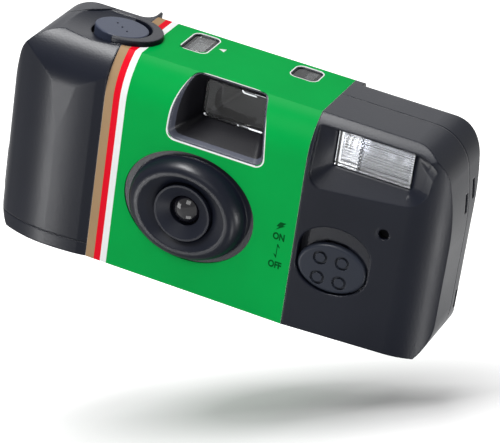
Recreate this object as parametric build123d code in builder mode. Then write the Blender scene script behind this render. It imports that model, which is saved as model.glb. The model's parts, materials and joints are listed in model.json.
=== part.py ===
from build123d import *
import math
import os

os.makedirs("parts", exist_ok=True)

# A one-use 35 mm camera with a built-in flash, in millimetres.
# +Z is up, the lens looks along -Y, and +X is the flash side.
# The origin is on the resting plane, under the middle of the body.

# Film and cartridge, which the height of the body follows
film_width = 35.0
film_thickness = 0.13
perforated_edge = 5.5
cartridge_can_radius = 12.5
can_end_height = 2.2
can_foot_z = 1.3
room_above_can = 10.9

# Body
body_width = 108.0
body_depth = 25.7
lens_mound_height = 4.15
column_front_bulge = 1.15
column_rear_bulge = 4.15
column_radius = 15.6
wall = 1.3
seam = 0.12
tongue_proud = 0.6
parting_y = 3.1
right_rear_step = 1.45
corner_radius = 9.5
lean_angle = 12.8
lean_radius = 73.0
bottom_turn_radius = 15.0
bottom_turn_angle = 36.9
side_crease_y = -6.6
top_crease_y = -7.4
shoulder_drop = 10.6
rear_edge_radius = 1.6

# Printed wrap round the middle
wrap_left_x = -28.9
wrap_right_x = 20.46
wrap_thickness = 0.2
wrap_gap = 0.03

# Lens and film gate
lens_x = -5.4
film_y = 10.4
gate_width = 35.0

# Clearances
fit = 0.3
slip = 0.1
overrun = 1.0

# Sizes and places worked out from those above
cartridge_can_height = film_width + 2 * can_end_height
gate_height = film_width - 2 * perforated_edge
body_height = can_foot_z + cartridge_can_height + room_above_can
lens_z = can_foot_z + cartridge_can_height / 2
shoulder_start_z = body_height - shoulder_drop
half_width = body_width / 2
front_y = -body_depth / 2
rear_y = body_depth / 2
right_rear_y = rear_y - right_rear_step
mound_y = front_y - lens_mound_height
column_front_y = front_y - column_front_bulge
column_rear_y = rear_y + column_rear_bulge
left_wall_x = -half_width + tongue_proud
outline_x = (half_width + left_wall_x) / 2
cartridge_x = left_wall_x + column_radius
cartridge_y = column_rear_y - column_radius
wrap_recess = wrap_thickness + wrap_gap
cover_front_y = front_y + wrap_recess
inner_front_y = cover_front_y + wall
inner_rear_y = rear_y - wrap_recess - wall
inner_top_z = body_height - wrap_recess - wall
frame_bottom_z = wrap_recess + wall + seam
can_bottom_z = lens_z - cartridge_can_height / 2
can_top_z = lens_z + cartridge_can_height / 2
reach = body_width


def level(z):
    """Horizontal plane at height z, looking up."""
    return Plane.XY.offset(z)


def facing(y):
    """Upright plane at depth y, looking forward along -Y, with x and z as its axes."""
    return Plane.XZ.offset(-y)


def across(x):
    """Upright plane at x, looking right along +X, with y and z as its axes."""
    return Plane.YZ.offset(x)


# The outer form of the body: a front outline, a plan outline and a profile for each
# of its three stretches. Every wall is the space between this form and an inset copy.

lean_cos = math.cos(math.radians(lean_angle))
lean_sin = math.sin(math.radians(lean_angle))
bottom_sin = math.sin(math.radians(bottom_turn_angle))
bottom_cos = math.cos(math.radians(bottom_turn_angle))
outline_half = half_width - outline_x
top_half = outline_half - lean_radius * (1 - lean_cos) - corner_radius * lean_cos
bottom_half = outline_half - bottom_turn_radius * (1 - bottom_cos)
bottom_turn_z = bottom_turn_radius * bottom_sin
lean_start_z = body_height - corner_radius * (1 - lean_sin) - lean_radius * lean_sin


def front_outline(inset):
    """Outline of the body from the front, drawn inset, or larger where inset is below zero."""
    with BuildSketch() as outline:
        with BuildLine():
            top = Line((outline_x - top_half, body_height), (outline_x + top_half, body_height))
            corner = JernArc(top @ 1, top % 1, corner_radius, lean_angle - 90)
            lean = JernArc(corner @ 1, corner % 1, lean_radius, -lean_angle)
            side = Line(lean @ 1, (half_width, bottom_turn_z))
            turn = JernArc(side @ 1, side % 1, bottom_turn_radius, -bottom_turn_angle)
            base = Line(turn @ 1, (outline_x - bottom_half, 0))
            rise = JernArc(base @ 1, (-bottom_sin, bottom_cos), bottom_turn_radius, -bottom_turn_angle)
            left_side = Line(rise @ 1, (left_wall_x, lean_start_z))
            left_lean = JernArc(left_side @ 1, left_side % 1, lean_radius, -lean_angle)
            JernArc(left_lean @ 1, left_lean % 1, corner_radius, lean_angle - 90)
        make_face()
        if inset != 0:
            offset(amount=-inset, kind=Kind.INTERSECTION, mode=Mode.REPLACE)
    return outline.sketch


# Plan outline: the flash side tapers back to a crease, the grip side is a round column
slope_end_inset = 9.5
slope_end_x = half_width - slope_end_inset
slope_end_y = -10.7
rear_corner_radius = 5.5
wrap_lip = 2.2
lip_right_x = wrap_right_x + wrap_lip
grip_corner_width = 14.0
grip_corner_depth = 7.1
grip_end_x = -31.2
grip_end_y = -13.4
grip_span = math.hypot(grip_corner_width, grip_corner_depth)
grip_spread = (grip_corner_width - grip_corner_depth) * grip_span
grip_side_radius = (grip_span**2 - grip_spread) / (2 * grip_corner_width)
grip_front_radius = (grip_span**2 + grip_spread) / (2 * grip_corner_depth)
grip_turn = math.degrees(math.atan2(grip_corner_width, grip_corner_depth))


def plan_outline(inset):
    """Outline of the body seen from above."""
    blend_x = cartridge_x + math.sqrt(column_radius**2 - (rear_y - cartridge_y) ** 2)
    with BuildSketch() as outline:
        with BuildLine():
            front = Line((wrap_left_x, front_y), (wrap_right_x, front_y))
            slope = Line(front @ 1, (slope_end_x, slope_end_y))
            shoulder = TangentArc(slope @ 1, (half_width, side_crease_y), tangent=slope % 1)
            side = Line(shoulder @ 1, (half_width, right_rear_y - rear_corner_radius))
            corner = JernArc(side @ 1, side % 1, rear_corner_radius, 90)
            back = Line(corner @ 1, (lip_right_x, right_rear_y))
            lip = Line(back @ 1, (lip_right_x, rear_y))
            middle = Line(lip @ 1, (blend_x, rear_y))
            peak = (cartridge_x, column_rear_y)
            bulge = RadiusArc(middle @ 1, peak, -column_radius)
            column = RadiusArc(bulge @ 1, (left_wall_x, cartridge_y), -column_radius)
            grip_side = Line(column @ 1, (left_wall_x, column_front_y + grip_corner_depth))
            grip_turn_in = JernArc(grip_side @ 1, (0, -1), grip_side_radius, grip_turn)
            grip = JernArc(grip_turn_in @ 1, grip_turn_in % 1, grip_front_radius, 90 - grip_turn)
            grip_front = TangentArc(grip @ 1, (grip_end_x, grip_end_y), tangent=grip % 1)
            Line(grip_front @ 1, (wrap_left_x, front_y))
        make_face()
        if inset > 0:
            offset(amount=-inset, kind=Kind.INTERSECTION, mode=Mode.REPLACE)
    return outline.sketch


def upper_section(inset, foot_y, edge_y, back_y, back_radius):
    """Section of a stretch: upright front, round shoulder up to the crease, flat top."""
    with BuildSketch() as section:
        with BuildLine():
            front = Line((foot_y, 0), (edge_y, shoulder_start_z))
            curve = TangentArc(front @ 1, (top_crease_y, body_height), tangent=front % 1)
            Polyline(curve @ 1, (back_y, body_height), (back_y, 0), front @ 0)
        make_face()
        if back_radius > 0:
            fillet(section.vertices().group_by(Axis.X)[-1], radius=back_radius)
        if inset > 0:
            offset(amount=-inset, kind=Kind.INTERSECTION, mode=Mode.REPLACE)
    return section.sketch


def shoulder_profile(inset, back_y):
    """Section of the middle and of the flash side."""
    return upper_section(inset, front_y, front_y, back_y, rear_edge_radius)


# The grip column leans back by this much from its foot to its shoulder
grip_lean = 0.45


def grip_profile(inset):
    """Section of the grip column, which stands proud of the middle at the front."""
    edge_y = column_front_y + slip
    return upper_section(inset, edge_y - grip_lean, edge_y, column_rear_y + overrun, 0)


def stretch_block(inset, x_from, x_to, profile):
    """One stretch of the body's outer form, drawn inset."""
    with BuildPart() as stretch:
        with BuildSketch(Plane.XY):
            add(plan_outline(inset))
        extrude(amount=body_height, dir=(0, 0, 1))
        with BuildSketch(Plane.XZ):
            add(front_outline(inset))
        extrude(amount=reach, both=True, mode=Mode.INTERSECT)
        with BuildSketch(across(x_from)):
            add(profile)
        extrude(amount=x_to - x_from, dir=(1, 0, 0), mode=Mode.INTERSECT)
    return stretch.part


def body_block(inset):
    """The whole outer form, drawn inset; the middle stretch lies deeper by the wrap."""
    with BuildPart() as block:
        add(stretch_block(inset, -reach, wrap_left_x, grip_profile(inset)))
        with BuildSketch(across(wrap_left_x)):
            add(shoulder_profile(inset + wrap_recess, rear_y))
        extrude(amount=wrap_right_x - wrap_left_x, dir=(1, 0, 0))
        add(stretch_block(inset, wrap_right_x, lip_right_x, shoulder_profile(inset, rear_y)))
        add(stretch_block(inset, lip_right_x, reach, shoulder_profile(inset, right_rear_y)))
    return block.part


def prism(plane, corners, height):
    """Straight prism over a polygon drawn on a plane."""
    with BuildPart() as solid:
        with BuildSketch(plane):
            with BuildLine():
                Polyline(*corners, close=True)
            make_face()
        extrude(amount=height, dir=plane.z_dir)
    return solid.part


def brick(x_from, x_to, y_from, y_to, z_from, z_to):
    """Straight block between two corners."""
    return prism(
        level(z_from), [(x_from, y_from), (x_to, y_from), (x_to, y_to), (x_from, y_to)], z_to - z_from
    )


def rod(plane, center, radius, height):
    """Round bar standing on a plane."""
    with BuildPart() as solid:
        with BuildSketch(plane):
            with Locations(center):
                Circle(radius)
        extrude(amount=height)
    return solid.part


outer_block = body_block(0)
inner_block = body_block(wall)
frame_block = body_block(wall + fit)

# Advance wheel, and the thumb scoop that leaves its rim open at the back
wheel_radius = 12.0
wheel_thickness = 2.8
wheel_gap = 0.5
frame_plate = 1.2
deck_rear_y = 9.5
scoop_right_x = wrap_left_x - wall / 2
scoop_corner_radius = 3.0
wheel_bottom_z = can_top_z + fit + frame_plate + wheel_gap
wheel_top_z = wheel_bottom_z + wheel_thickness
slot_bottom_z = wheel_bottom_z - fit
slot_top_z = wheel_top_z + fit
scoop_floor_z = slot_bottom_z - slip
can_center = [(cartridge_x, cartridge_y)]


def thumb_scoop(growth):
    """Space cut from the upper rear of the column so that a thumb reaches the wheel."""
    with BuildPart() as scoop:
        with BuildSketch(level(scoop_floor_z - growth)):
            with Locations((scoop_right_x - reach / 2, deck_rear_y + reach / 2)):
                RectangleRounded(reach + 2 * growth, reach + 2 * growth, scoop_corner_radius + growth)
        extrude(amount=body_height)
    return scoop.part


# The parting between the covers runs up the sides and over the top, and jogs back
# round the button so that the whole deck over the wheel belongs to the front cover
jog_start_x = -46.5
jog_knee_x = -42.8
jog_knee_step = 1.8
jog_end_x = -38.5
jog_knee_y = parting_y + jog_knee_step
jog_end_y = deck_rear_y - wall / 2


def front_region(gap):
    """Space that belongs to the front cover, grown by a gap."""
    split_y = parting_y + gap
    deck_tongue = [
        (jog_start_x - gap, split_y - overrun),
        (jog_knee_x - gap, jog_knee_y + gap),
        (jog_end_x - gap, jog_end_y + gap),
        (jog_end_x - gap, deck_rear_y + overrun),
        (wrap_left_x, deck_rear_y + overrun),
        (wrap_left_x, split_y - overrun),
    ]
    with BuildPart() as region:
        add(brick(-reach, reach, -reach, split_y, -overrun, body_height + overrun))
        add(prism(level(slot_top_z - gap), deck_tongue, body_height))
    return region.part


# Film door: a floor under the cartridge with a skirt all round and a tongue up the side
door_skirt = 3.4
door_floor = can_bottom_z - fit
door_hinge_gap = 0.5
door_hinge_x = cartridge_x + cartridge_can_radius + door_hinge_gap
door_gap = 0.1
tongue_thickness = 1.1
tongue_front_y = -7.0
tongue_rear_y = 5.6
tongue_top_z = 19.7
tongue_end_radius = 3.0
nail_notch_depth = 1.0
nail_notch_height = 9.5
door_flap_half = inner_rear_y - fit
tongue_y = (tongue_front_y + tongue_rear_y) / 2
tongue_width = tongue_rear_y - tongue_front_y


def tongue_form(depth, proud, growth):
    """The door's tongue: a band that follows the side of the body, round at its top."""
    turn_x = left_wall_x + bottom_turn_radius
    top_z = tongue_top_z + growth
    foot_x = turn_x - bottom_turn_radius * bottom_cos
    with BuildPart() as tongue:
        with BuildSketch(facing(tongue_rear_y + growth)):
            with Locations((turn_x, bottom_turn_z)):
                Circle(bottom_turn_radius + proud)
                Circle(bottom_turn_radius - depth, mode=Mode.SUBTRACT)
            with Locations((foot_x + reach / 2, bottom_turn_z)):
                Rectangle(reach, reach, mode=Mode.SUBTRACT)
            with Locations((turn_x, bottom_turn_z + reach / 2)):
                Rectangle(reach, reach, mode=Mode.SUBTRACT)
            with Locations((turn_x, -reach / 2)):
                Rectangle(reach, reach, mode=Mode.SUBTRACT)
            with Locations((left_wall_x + (depth - proud) / 2, (bottom_turn_z + top_z) / 2)):
                Rectangle(depth + proud, top_z - bottom_turn_z)
        extrude(amount=tongue_width + 2 * growth)
        top_corners = tongue.edges().filter_by(Axis.X).group_by(Axis.Z)[-1]
        fillet(top_corners, radius=tongue_end_radius)
    return tongue.part


def can_space():
    """Free space round the foot of the cartridge, above the door's floor."""
    return rod(level(door_floor), can_center, cartridge_can_radius + fit, door_skirt)


def nail_notch():
    """Upright slot above the tongue, where a nail lifts it."""
    with BuildPart() as notch:
        with BuildSketch(across(-reach)):
            with Locations((tongue_y, tongue_top_z)):
                SlotOverall(2 * nail_notch_height, tongue_width - 2 * tongue_end_radius, rotation=90)
        extrude(amount=reach + left_wall_x + nail_notch_depth)
    return notch.part


def door_spaces(gap):
    """The spaces that the film door takes from the covers, grown by a gap."""
    flap_half = door_flap_half + gap
    skirt_right_x = wrap_left_x - door_gap + gap
    return [
        brick(-reach, skirt_right_x, -reach, reach, -overrun, door_skirt + gap),
        brick(skirt_right_x - overrun, door_hinge_x + gap, -flap_half, flap_half, -overrun, door_floor + gap),
        can_space(),
        tongue_form(tongue_thickness - tongue_proud + gap, tongue_proud + overrun, gap),
        nail_notch(),
    ]


# Openings in the front cover, measured on the front and on the top
flash_left_x = 25.4
flash_width = 18.0
flash_drop = 11.0
flash_bottom_z = body_height - flash_drop
flash_height = 8.5
flash_panel_y = -8.4
flash_right_x = flash_left_x + flash_width
flash_top_z = flash_bottom_z + flash_height
flash_x = flash_left_x + flash_width / 2
flash_z = flash_bottom_z + flash_height / 2
finder_left_x = -8.3
finder_width = 14.9
finder_drop = 11.6
finder_bottom_z = body_height - finder_drop
finder_height = 9.0
finder_plate_y = -4.6
finder_right_x = finder_left_x + finder_width
finder_top_z = finder_bottom_z + finder_height
finder_x = finder_left_x + finder_width / 2
finder_z = finder_bottom_z + finder_height / 2
switch_x = 29.8
switch_off_z = 17.0
switch_travel = 4.2
switch_half_width = 8.05
switch_half_height = 5.9
switch_recess_depth = 2.3
switch_floor = 1.0
switch_floor_y = cover_front_y + switch_recess_depth
switch_middle = (switch_x, switch_off_z + switch_travel / 2)
stem_width = 5.0
stem_height = 3.4
mound_half_width = 14.3
mound_half_height = 12.2
ring_hole_radius = 7.0
button_x = -32.2
button_y = -0.2
button_half_width = 6.4
button_half_depth = 4.9
button_gap = 0.7
button_stand = 0.9
button_top_z = body_height + button_stand
collar_height = 1.2
collar_wall = 1.1
collar_reach = 1.6
dish_radius = 42.0
dish_depth = 1.1
dish_shift = 3.6
sensor_x = 40.1
sensor_z = 29.2
sensor_radius = 2.1
sensor_bore_share = 0.6
sensor_step = 0.5
counter_window_x = -15.25
counter_window_y = 5.75
counter_window_width = 5.6
counter_window_depth = 8.6
lamp_window_x = 10.35
lamp_window_y = 7.35
lamp_window_width = 5.8
lamp_window_depth = 5.2
top_window_radius = 1.2
eyepiece_width = 8.6
eyepiece_height = 6.2
eyepiece_corner = 1.0
snap_width = 1.4
snap_height = 4.6
snap_high_rise = 15.0
snap_top_rise = 17.0
snap_middle_rise = 10.0
snap_low_drop = 11.0
front_snap = (parting_y - snap_width, lens_z + snap_high_rise)


def knob_path(growth):
    """Outline of the flash switch swept from its low place to its high place."""
    with BuildSketch() as path:
        for height in (0, switch_travel):
            with Locations((switch_x, switch_off_z + height)):
                Ellipse(switch_half_width + growth, switch_half_height + growth)
        with Locations(switch_middle):
            Rectangle(2 * (switch_half_width + growth), switch_travel)
    return path.sketch


def quad_sketch(corners, radius):
    """Four-sided outline with one corner radius."""
    with BuildSketch() as outline:
        with BuildLine():
            Polyline(*corners, close=True)
        make_face()
        fillet(outline.vertices(), radius=radius)
    return outline.sketch


# Funnel of the viewfinder: its top runs out through the shoulder of the cover
funnel_reach = 0.5
funnel_foot_drop = 3.6
funnel_foot_z = finder_bottom_z - funnel_foot_drop
funnel_rise = 4.4
funnel_foot_left_x = -13.0
funnel_foot_right_x = 10.6
funnel_peak_left_x = -12.2
funnel_peak_right_x = 8.8
funnel_corner = 2.0
finder_corner = 0.8
funnel_wall = 1.0


def finder_funnel(growth):
    """Tapering space in front of the viewfinder, grown for its wall."""
    peak_z = body_height + funnel_rise + growth
    mouth = [
        (funnel_foot_left_x - growth, funnel_foot_z - growth),
        (funnel_foot_right_x + growth, funnel_foot_z - growth),
        (funnel_peak_right_x + growth, peak_z),
        (funnel_peak_left_x - growth, peak_z),
    ]
    throat = [
        (finder_left_x - growth, finder_bottom_z - growth),
        (finder_right_x + growth, finder_bottom_z - growth),
        (finder_right_x + growth, finder_top_z + growth),
        (finder_left_x - growth, finder_top_z + growth),
    ]
    with BuildPart() as funnel:
        with BuildSketch(facing(front_y - funnel_reach)):
            add(quad_sketch(mouth, funnel_corner + growth))
        with BuildSketch(facing(finder_plate_y)):
            add(quad_sketch(throat, finder_corner + growth))
        loft()
    return funnel.part


# Flash recess: its mouth lies on a plane that leans with the shoulder and the taper
recess_left_x = 21.3
recess_right_x = 50.6
recess_foot_drop = 4.7
recess_peak_rise = 0.8
recess_right_drop = 0.9
recess_foot_z = flash_bottom_z - recess_foot_drop
recess_peak_z = flash_top_z + recess_peak_rise
recess_right_foot_z = recess_foot_z - recess_right_drop
recess_foot_y = -12.5
recess_peak_y = -9.5
recess_right_y = -11.9
recess_corner = 3.4
recess_right_corner = 6.5
panel_corner = 0.6
recess_wall = 1.1
recess_plane = Plane(
    origin=(recess_left_x, recess_foot_y, recess_foot_z),
    x_dir=(recess_right_x - recess_left_x, recess_right_y - recess_foot_y, 0),
    z_dir=Vector(recess_right_x - recess_left_x, recess_right_y - recess_foot_y, 0).cross(
        Vector(0, recess_peak_y - recess_foot_y, recess_peak_z - recess_foot_z)
    ),
)


def recess_mouth(growth):
    """Outline of the recess on its leaning plane, rounder at its right end."""
    right = recess_right_x - recess_left_x + growth
    right_foot = recess_right_foot_z - recess_foot_z - growth
    peak = recess_peak_z - recess_foot_z + growth
    with BuildSketch() as mouth:
        with BuildLine():
            FilletPolyline(
                (-growth, -growth),
                (right, right_foot),
                (right, peak),
                (-growth, peak),
                radius=[recess_corner, recess_right_corner, recess_right_corner, panel_corner + growth],
                close=True,
            )
        make_face()
    return mouth.sketch


def panel_outline(growth):
    """Outline of the clear panel, with the same corners in the same order."""
    left = flash_left_x - growth
    right = flash_right_x + growth
    foot = flash_bottom_z - growth
    peak = flash_top_z + growth
    with BuildSketch() as outline:
        with BuildLine():
            FilletPolyline(
                (left, foot),
                (right, foot),
                (right, peak),
                (left, peak),
                radius=[panel_corner + growth] * 4,
                close=True,
            )
        make_face()
    return outline.sketch


def flash_recess(growth):
    """Tapering space in front of the flash panel, grown for its wall."""
    with BuildPart() as recess:
        with BuildSketch(recess_plane):
            add(recess_mouth(growth))
        with BuildSketch(facing(flash_panel_y)):
            add(panel_outline(growth))
        loft(ruled=True)
        with BuildSketch(recess_plane):
            add(recess_mouth(growth))
        extrude(amount=lens_mound_height)
    return recess.part


# The mound narrows from its foot to its crest by these shares of its height and size
mound_depth_shares = (0, 0.45, 0.85, 1)
mound_size_shares = (1, 0.975, 0.9, 0.8)


def lens_mound(inset):
    """Oval mound round the lens, with a soft crest; inset it fills the hollow inside."""
    step = lens_mound_height + wrap_recess - inset
    with BuildPart() as mound:
        for depth_share, size_share in zip(mound_depth_shares, mound_size_shares):
            with BuildSketch(facing(cover_front_y - depth_share * step)):
                with Locations((lens_x, lens_z)):
                    Ellipse(size_share * mound_half_width - inset, size_share * mound_half_height - inset)
        loft()
    return mound.part


mound_dish_depth = 1.6
dish_width_share = 0.74


def mound_dish():
    """Dish in the face of the mound, from an oval rim down to the round ring hole."""
    with BuildPart() as dish:
        with BuildSketch(facing(mound_y)):
            with Locations((lens_x, lens_z)):
                Ellipse(dish_width_share * mound_half_width, dish_width_share * mound_half_height)
        with BuildSketch(facing(mound_y + mound_dish_depth)):
            with Locations((lens_x, lens_z)):
                Circle(ring_hole_radius)
        loft()
    return dish.part


def counter_outline(growth):
    """Outline of the counter window: pointed at its front left, round at its front right."""
    half_x = counter_window_width / 2
    half_y = counter_window_depth / 2
    with BuildSketch() as outline:
        with Locations((counter_window_x, counter_window_y)):
            Rectangle(2 * (half_x + growth), 2 * (half_y + growth))
        corners = outline.vertices().sort_by(Axis.Y)
        fillet(corners[:2].sort_by(Axis.X)[-1], radius=2 * top_window_radius + growth)
        fillet(outline.vertices().sort_by(Axis.Y)[-2:], radius=top_window_radius + growth)
    return outline.sketch


def lamp_outline(growth):
    """Outline of the ready lamp window."""
    with BuildSketch() as outline:
        with Locations((lamp_window_x, lamp_window_y)):
            RectangleRounded(
                lamp_window_width + 2 * growth, lamp_window_depth + 2 * growth, top_window_radius + growth
            )
    return outline.sketch


def deck_holes(growth):
    """Window holes through the top."""
    with BuildPart() as holes:
        with BuildSketch(level(inner_top_z - overrun)):
            add(counter_outline(growth))
            add(lamp_outline(growth))
        extrude(amount=body_height)
    return holes.part


def eyepiece_hole(growth):
    """Hole for the eye in the back."""
    with BuildPart() as hole:
        with BuildSketch(facing(rear_y + overrun)):
            with Locations((finder_x, finder_z)):
                RectangleRounded(
                    eyepiece_width + 2 * growth, eyepiece_height + 2 * growth, eyepiece_corner + growth
                )
        extrude(amount=2 * overrun + 2 * wall, dir=(0, -1, 0))
    return hole.part


def snap_window(y, z):
    """Small upright window through the right side wall."""
    half_y = snap_width / 2
    half_z = snap_height / 2
    return brick(half_width - 2 * wall, reach, y - half_y, y + half_y, z - half_z, z + half_z)


def button_outline(growth, grow_right=0):
    """Oval outline of the shutter button, grown; it can reach further to the right."""
    with BuildSketch() as outline:
        with Locations((button_x + grow_right / 2, button_y)):
            Ellipse(button_half_width + growth + grow_right / 2, button_half_depth + growth)
    return outline.sketch


def button_dish():
    """Lens-shaped space that dishes the deck round the button."""
    with BuildPart() as dish:
        with Locations((button_x - dish_shift, button_y, body_height - dish_depth + dish_radius)):
            Sphere(dish_radius)
        add(brick(-reach, wrap_left_x + collar_reach, -reach, deck_rear_y - wall, 0, reach), mode=Mode.INTERSECT)
    return dish.part


# Shell of both covers: outer form less inner form, walls kept round the scoop
with BuildPart() as hollow_space:
    add(inner_block)
    add(thumb_scoop(wall), mode=Mode.SUBTRACT)

with BuildPart() as shell:
    add(outer_block)
    add(thumb_scoop(0), mode=Mode.SUBTRACT)
    add(hollow_space.part, mode=Mode.SUBTRACT)
    slot_height = slot_top_z - slot_bottom_z
    add(rod(level(slot_bottom_z), can_center, wheel_radius + wheel_gap, slot_height), mode=Mode.SUBTRACT)
    for space in door_spaces(door_gap):
        add(space, mode=Mode.SUBTRACT)

# Walls behind the funnel, the flash recess and the switch recess of the front cover
with BuildPart() as linings:
    add(finder_funnel(funnel_wall))
    add(flash_recess(recess_wall))
    with BuildSketch(facing(switch_floor_y + switch_floor)):
        add(knob_path(wall))
    extrude(amount=reach, dir=(0, -1, 0))
    add(outer_block, mode=Mode.INTERSECT)

# Hollow behind the lens mound, with the tube that holds the lens ring left standing
with BuildPart() as mound_hollow:
    add(lens_mound(wall))
    with BuildSketch(facing(inner_front_y + wall)):
        with Locations((lens_x, lens_z)):
            Ellipse(mound_half_width - wall, mound_half_height - wall)
    extrude(amount=2 * wall, dir=(0, -1, 0))
    add(rod(facing(inner_front_y + 2 * wall), [(lens_x, lens_z)], ring_hole_radius + wall, reach), mode=Mode.SUBTRACT)
    add(brick(-reach, reach, mound_y + mound_dish_depth + wall, reach, -reach, reach), mode=Mode.INTERSECT)

with BuildPart() as front_cover:
    add(shell.part)
    add(front_region(0), mode=Mode.INTERSECT)
    add(lens_mound(0))
    add(linings.part)
    with BuildSketch(level(inner_top_z - dish_depth)):
        add(button_outline(button_gap + wall, collar_reach))
    extrude(amount=dish_depth + wall)
    add(button_dish(), mode=Mode.SUBTRACT)
    with BuildSketch(level(inner_top_z)):
        add(button_outline(button_gap + collar_wall, collar_reach))
        with Locations((button_x - button_half_width, button_y)):
            Rectangle(2 * button_half_width + collar_wall, reach, mode=Mode.SUBTRACT)
    extrude(amount=body_height + collar_height - inner_top_z)
    with BuildSketch(level(inner_top_z - dish_depth - overrun)):
        add(button_outline(button_gap))
    extrude(amount=reach, mode=Mode.SUBTRACT)
    add(finder_funnel(0), mode=Mode.SUBTRACT)
    add(flash_recess(0), mode=Mode.SUBTRACT)
    with BuildSketch(facing(flash_panel_y + 2 * recess_wall)):
        with Locations((flash_x, flash_z)):
            Rectangle(flash_width, flash_height)
    extrude(amount=4 * recess_wall, dir=(0, -1, 0), mode=Mode.SUBTRACT)
    with BuildSketch(facing(switch_floor_y)):
        add(knob_path(fit))
    extrude(amount=reach, dir=(0, -1, 0), mode=Mode.SUBTRACT)
    with BuildSketch(facing(switch_floor_y + 2 * switch_floor)):
        with Locations(switch_middle):
            Rectangle(stem_width + 2 * slip, stem_height + switch_travel + 2 * slip)
    extrude(amount=reach, dir=(0, -1, 0), mode=Mode.SUBTRACT)
    add(mound_dish(), mode=Mode.SUBTRACT)
    add(mound_hollow.part, mode=Mode.SUBTRACT)
    add(rod(facing(inner_front_y + wall), [(lens_x, lens_z)], ring_hole_radius, reach), mode=Mode.SUBTRACT)
    sensor = [(sensor_x, sensor_z)]
    add(rod(facing(slope_end_y + wall), sensor, sensor_bore_share * sensor_radius, reach), mode=Mode.SUBTRACT)
    add(rod(facing(slope_end_y - sensor_step), sensor, sensor_radius, reach), mode=Mode.SUBTRACT)
    add(deck_holes(0), mode=Mode.SUBTRACT)
    add(snap_window(*front_snap), mode=Mode.SUBTRACT)
front_cover.part.label = "front_cover"
export_step(front_cover.part, "parts/front_cover.step")

# Rear cover: flat back with the eyepiece hole, film rails inside, snap windows at the side
pressure_rail_height = 0.6
pressure_rail_width = 1.4
pressure_rail_count = 4
pressure_rail_pitch = 7.2
rear_snaps = [
    (parting_y + 2 * snap_width, lens_z + snap_top_rise),
    (parting_y + 4 * snap_width, lens_z + snap_middle_rise),
    (parting_y + 2 * snap_width, lens_z - snap_low_drop),
]

with BuildPart() as rear_cover:
    add(shell.part)
    add(front_region(seam), mode=Mode.SUBTRACT)
    with BuildSketch(level(inner_top_z - dish_depth - overrun)):
        add(button_outline(button_gap + wall + seam, collar_reach))
    extrude(amount=reach, mode=Mode.SUBTRACT)
    with BuildSketch(facing(inner_rear_y)):
        with Locations((lens_x, lens_z)):
            with GridLocations(0, pressure_rail_pitch, 1, pressure_rail_count):
                SlotOverall(gate_width, pressure_rail_width)
    extrude(amount=pressure_rail_height, dir=(0, -1, 0))
    add(eyepiece_hole(0), mode=Mode.SUBTRACT)
    add(deck_holes(0), mode=Mode.SUBTRACT)
    for place in rear_snaps:
        add(snap_window(*place), mode=Mode.SUBTRACT)
rear_cover.part.label = "rear_cover"
export_step(rear_cover.part, "parts/rear_cover.step")

# Film door: its flap runs on under the wrap to the fold line
with BuildPart() as film_door:
    add(outer_block)
    add(brick(-reach, wrap_left_x - door_gap, -reach, reach, 0, door_skirt), mode=Mode.INTERSECT)
    add(inner_block, mode=Mode.SUBTRACT)
    add(
        brick(
            wrap_left_x - wall, door_hinge_x, -door_flap_half, door_flap_half,
            wrap_recess, door_floor,
        )
    )
    add(tongue_form(tongue_thickness - tongue_proud, tongue_proud, 0))
    add(can_space(), mode=Mode.SUBTRACT)
film_door.part.label = "film_door"
export_step(film_door.part, "parts/film_door.step")

# Printed wrap: one thin sleeve with its openings
hole_margin = 0.35
lens_hole_half_width = 16.0
lens_hole_half_height = 13.3

with BuildPart() as label_wrap:
    with BuildSketch(across(wrap_left_x)):
        add(shoulder_profile(0, rear_y))
        add(shoulder_profile(wrap_thickness, rear_y), mode=Mode.SUBTRACT)
    extrude(amount=wrap_right_x - wrap_left_x, dir=(1, 0, 0))
    with BuildSketch(facing(0)):
        with Locations((lens_x, lens_z)):
            Ellipse(lens_hole_half_width, lens_hole_half_height)
    extrude(amount=reach, dir=(0, -1, 0), mode=Mode.SUBTRACT)
    add(finder_funnel(hole_margin), mode=Mode.SUBTRACT)
    add(deck_holes(hole_margin), mode=Mode.SUBTRACT)
    with BuildSketch(level(inner_top_z)):
        add(button_outline(button_gap + collar_wall + slip, collar_reach))
    extrude(amount=reach, mode=Mode.SUBTRACT)
    add(eyepiece_hole(hole_margin), mode=Mode.SUBTRACT)
    flap_space = door_flap_half + fit
    add(brick(-reach, door_hinge_x + fit, -flap_space, flap_space, -overrun, wall), mode=Mode.SUBTRACT)
label_wrap.part.label = "label_wrap"
export_step(label_wrap.part, "parts/label_wrap.step")

# Main frame: film plate with its gate and rails, dark chamber, cartridge and roll chambers
chamber_wall = 0.8
can_fit = 0.4
can_shell = 1.0
film_plate_front_y = 8.8
film_plate_rear_y = 9.9
film_plate_margin = 1.1
film_plate_left_x = -24.5
film_plate_right_x = 19.5
film_bend_x = 14.0
guide_rail_y = 10.9
guide_rail_height = 0.5
film_half = film_width / 2
film_bottom_z = lens_z - film_half
film_top_z = lens_z + film_half
film_plate_top_z = film_top_z + film_plate_margin
lens_board_front_y = -9.2
lens_board_thickness = 1.0
lens_board_left_x = -19.0
lens_board_right_x = 2.0
lens_board_drop = 8.1
lens_board_rise = 14.0
lens_board_bottom_z = lens_z - lens_board_drop
lens_board_top_z = lens_z + lens_board_rise
lens_board_back_y = lens_board_front_y + lens_board_thickness
light_hole_radius = 2.5
front_gate_width = 12.0
front_gate_height = 9.0
roll_x = 30.0
roll_y = 1.9
roll_radius = 7.3
roll_core_radius = 3.2
roll_flange_radius = 7.6
roll_flange_thickness = 0.4
roll_chamber_radius = 8.0
roll_plate_bottom_z = film_top_z + roll_flange_thickness + slip
bottom_plate_front_y = -0.3
bottom_plate_thickness = 1.0
deck_thickness = 1.1
deck_left_x = -24.0
deck_front_reach = 5.35
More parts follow.
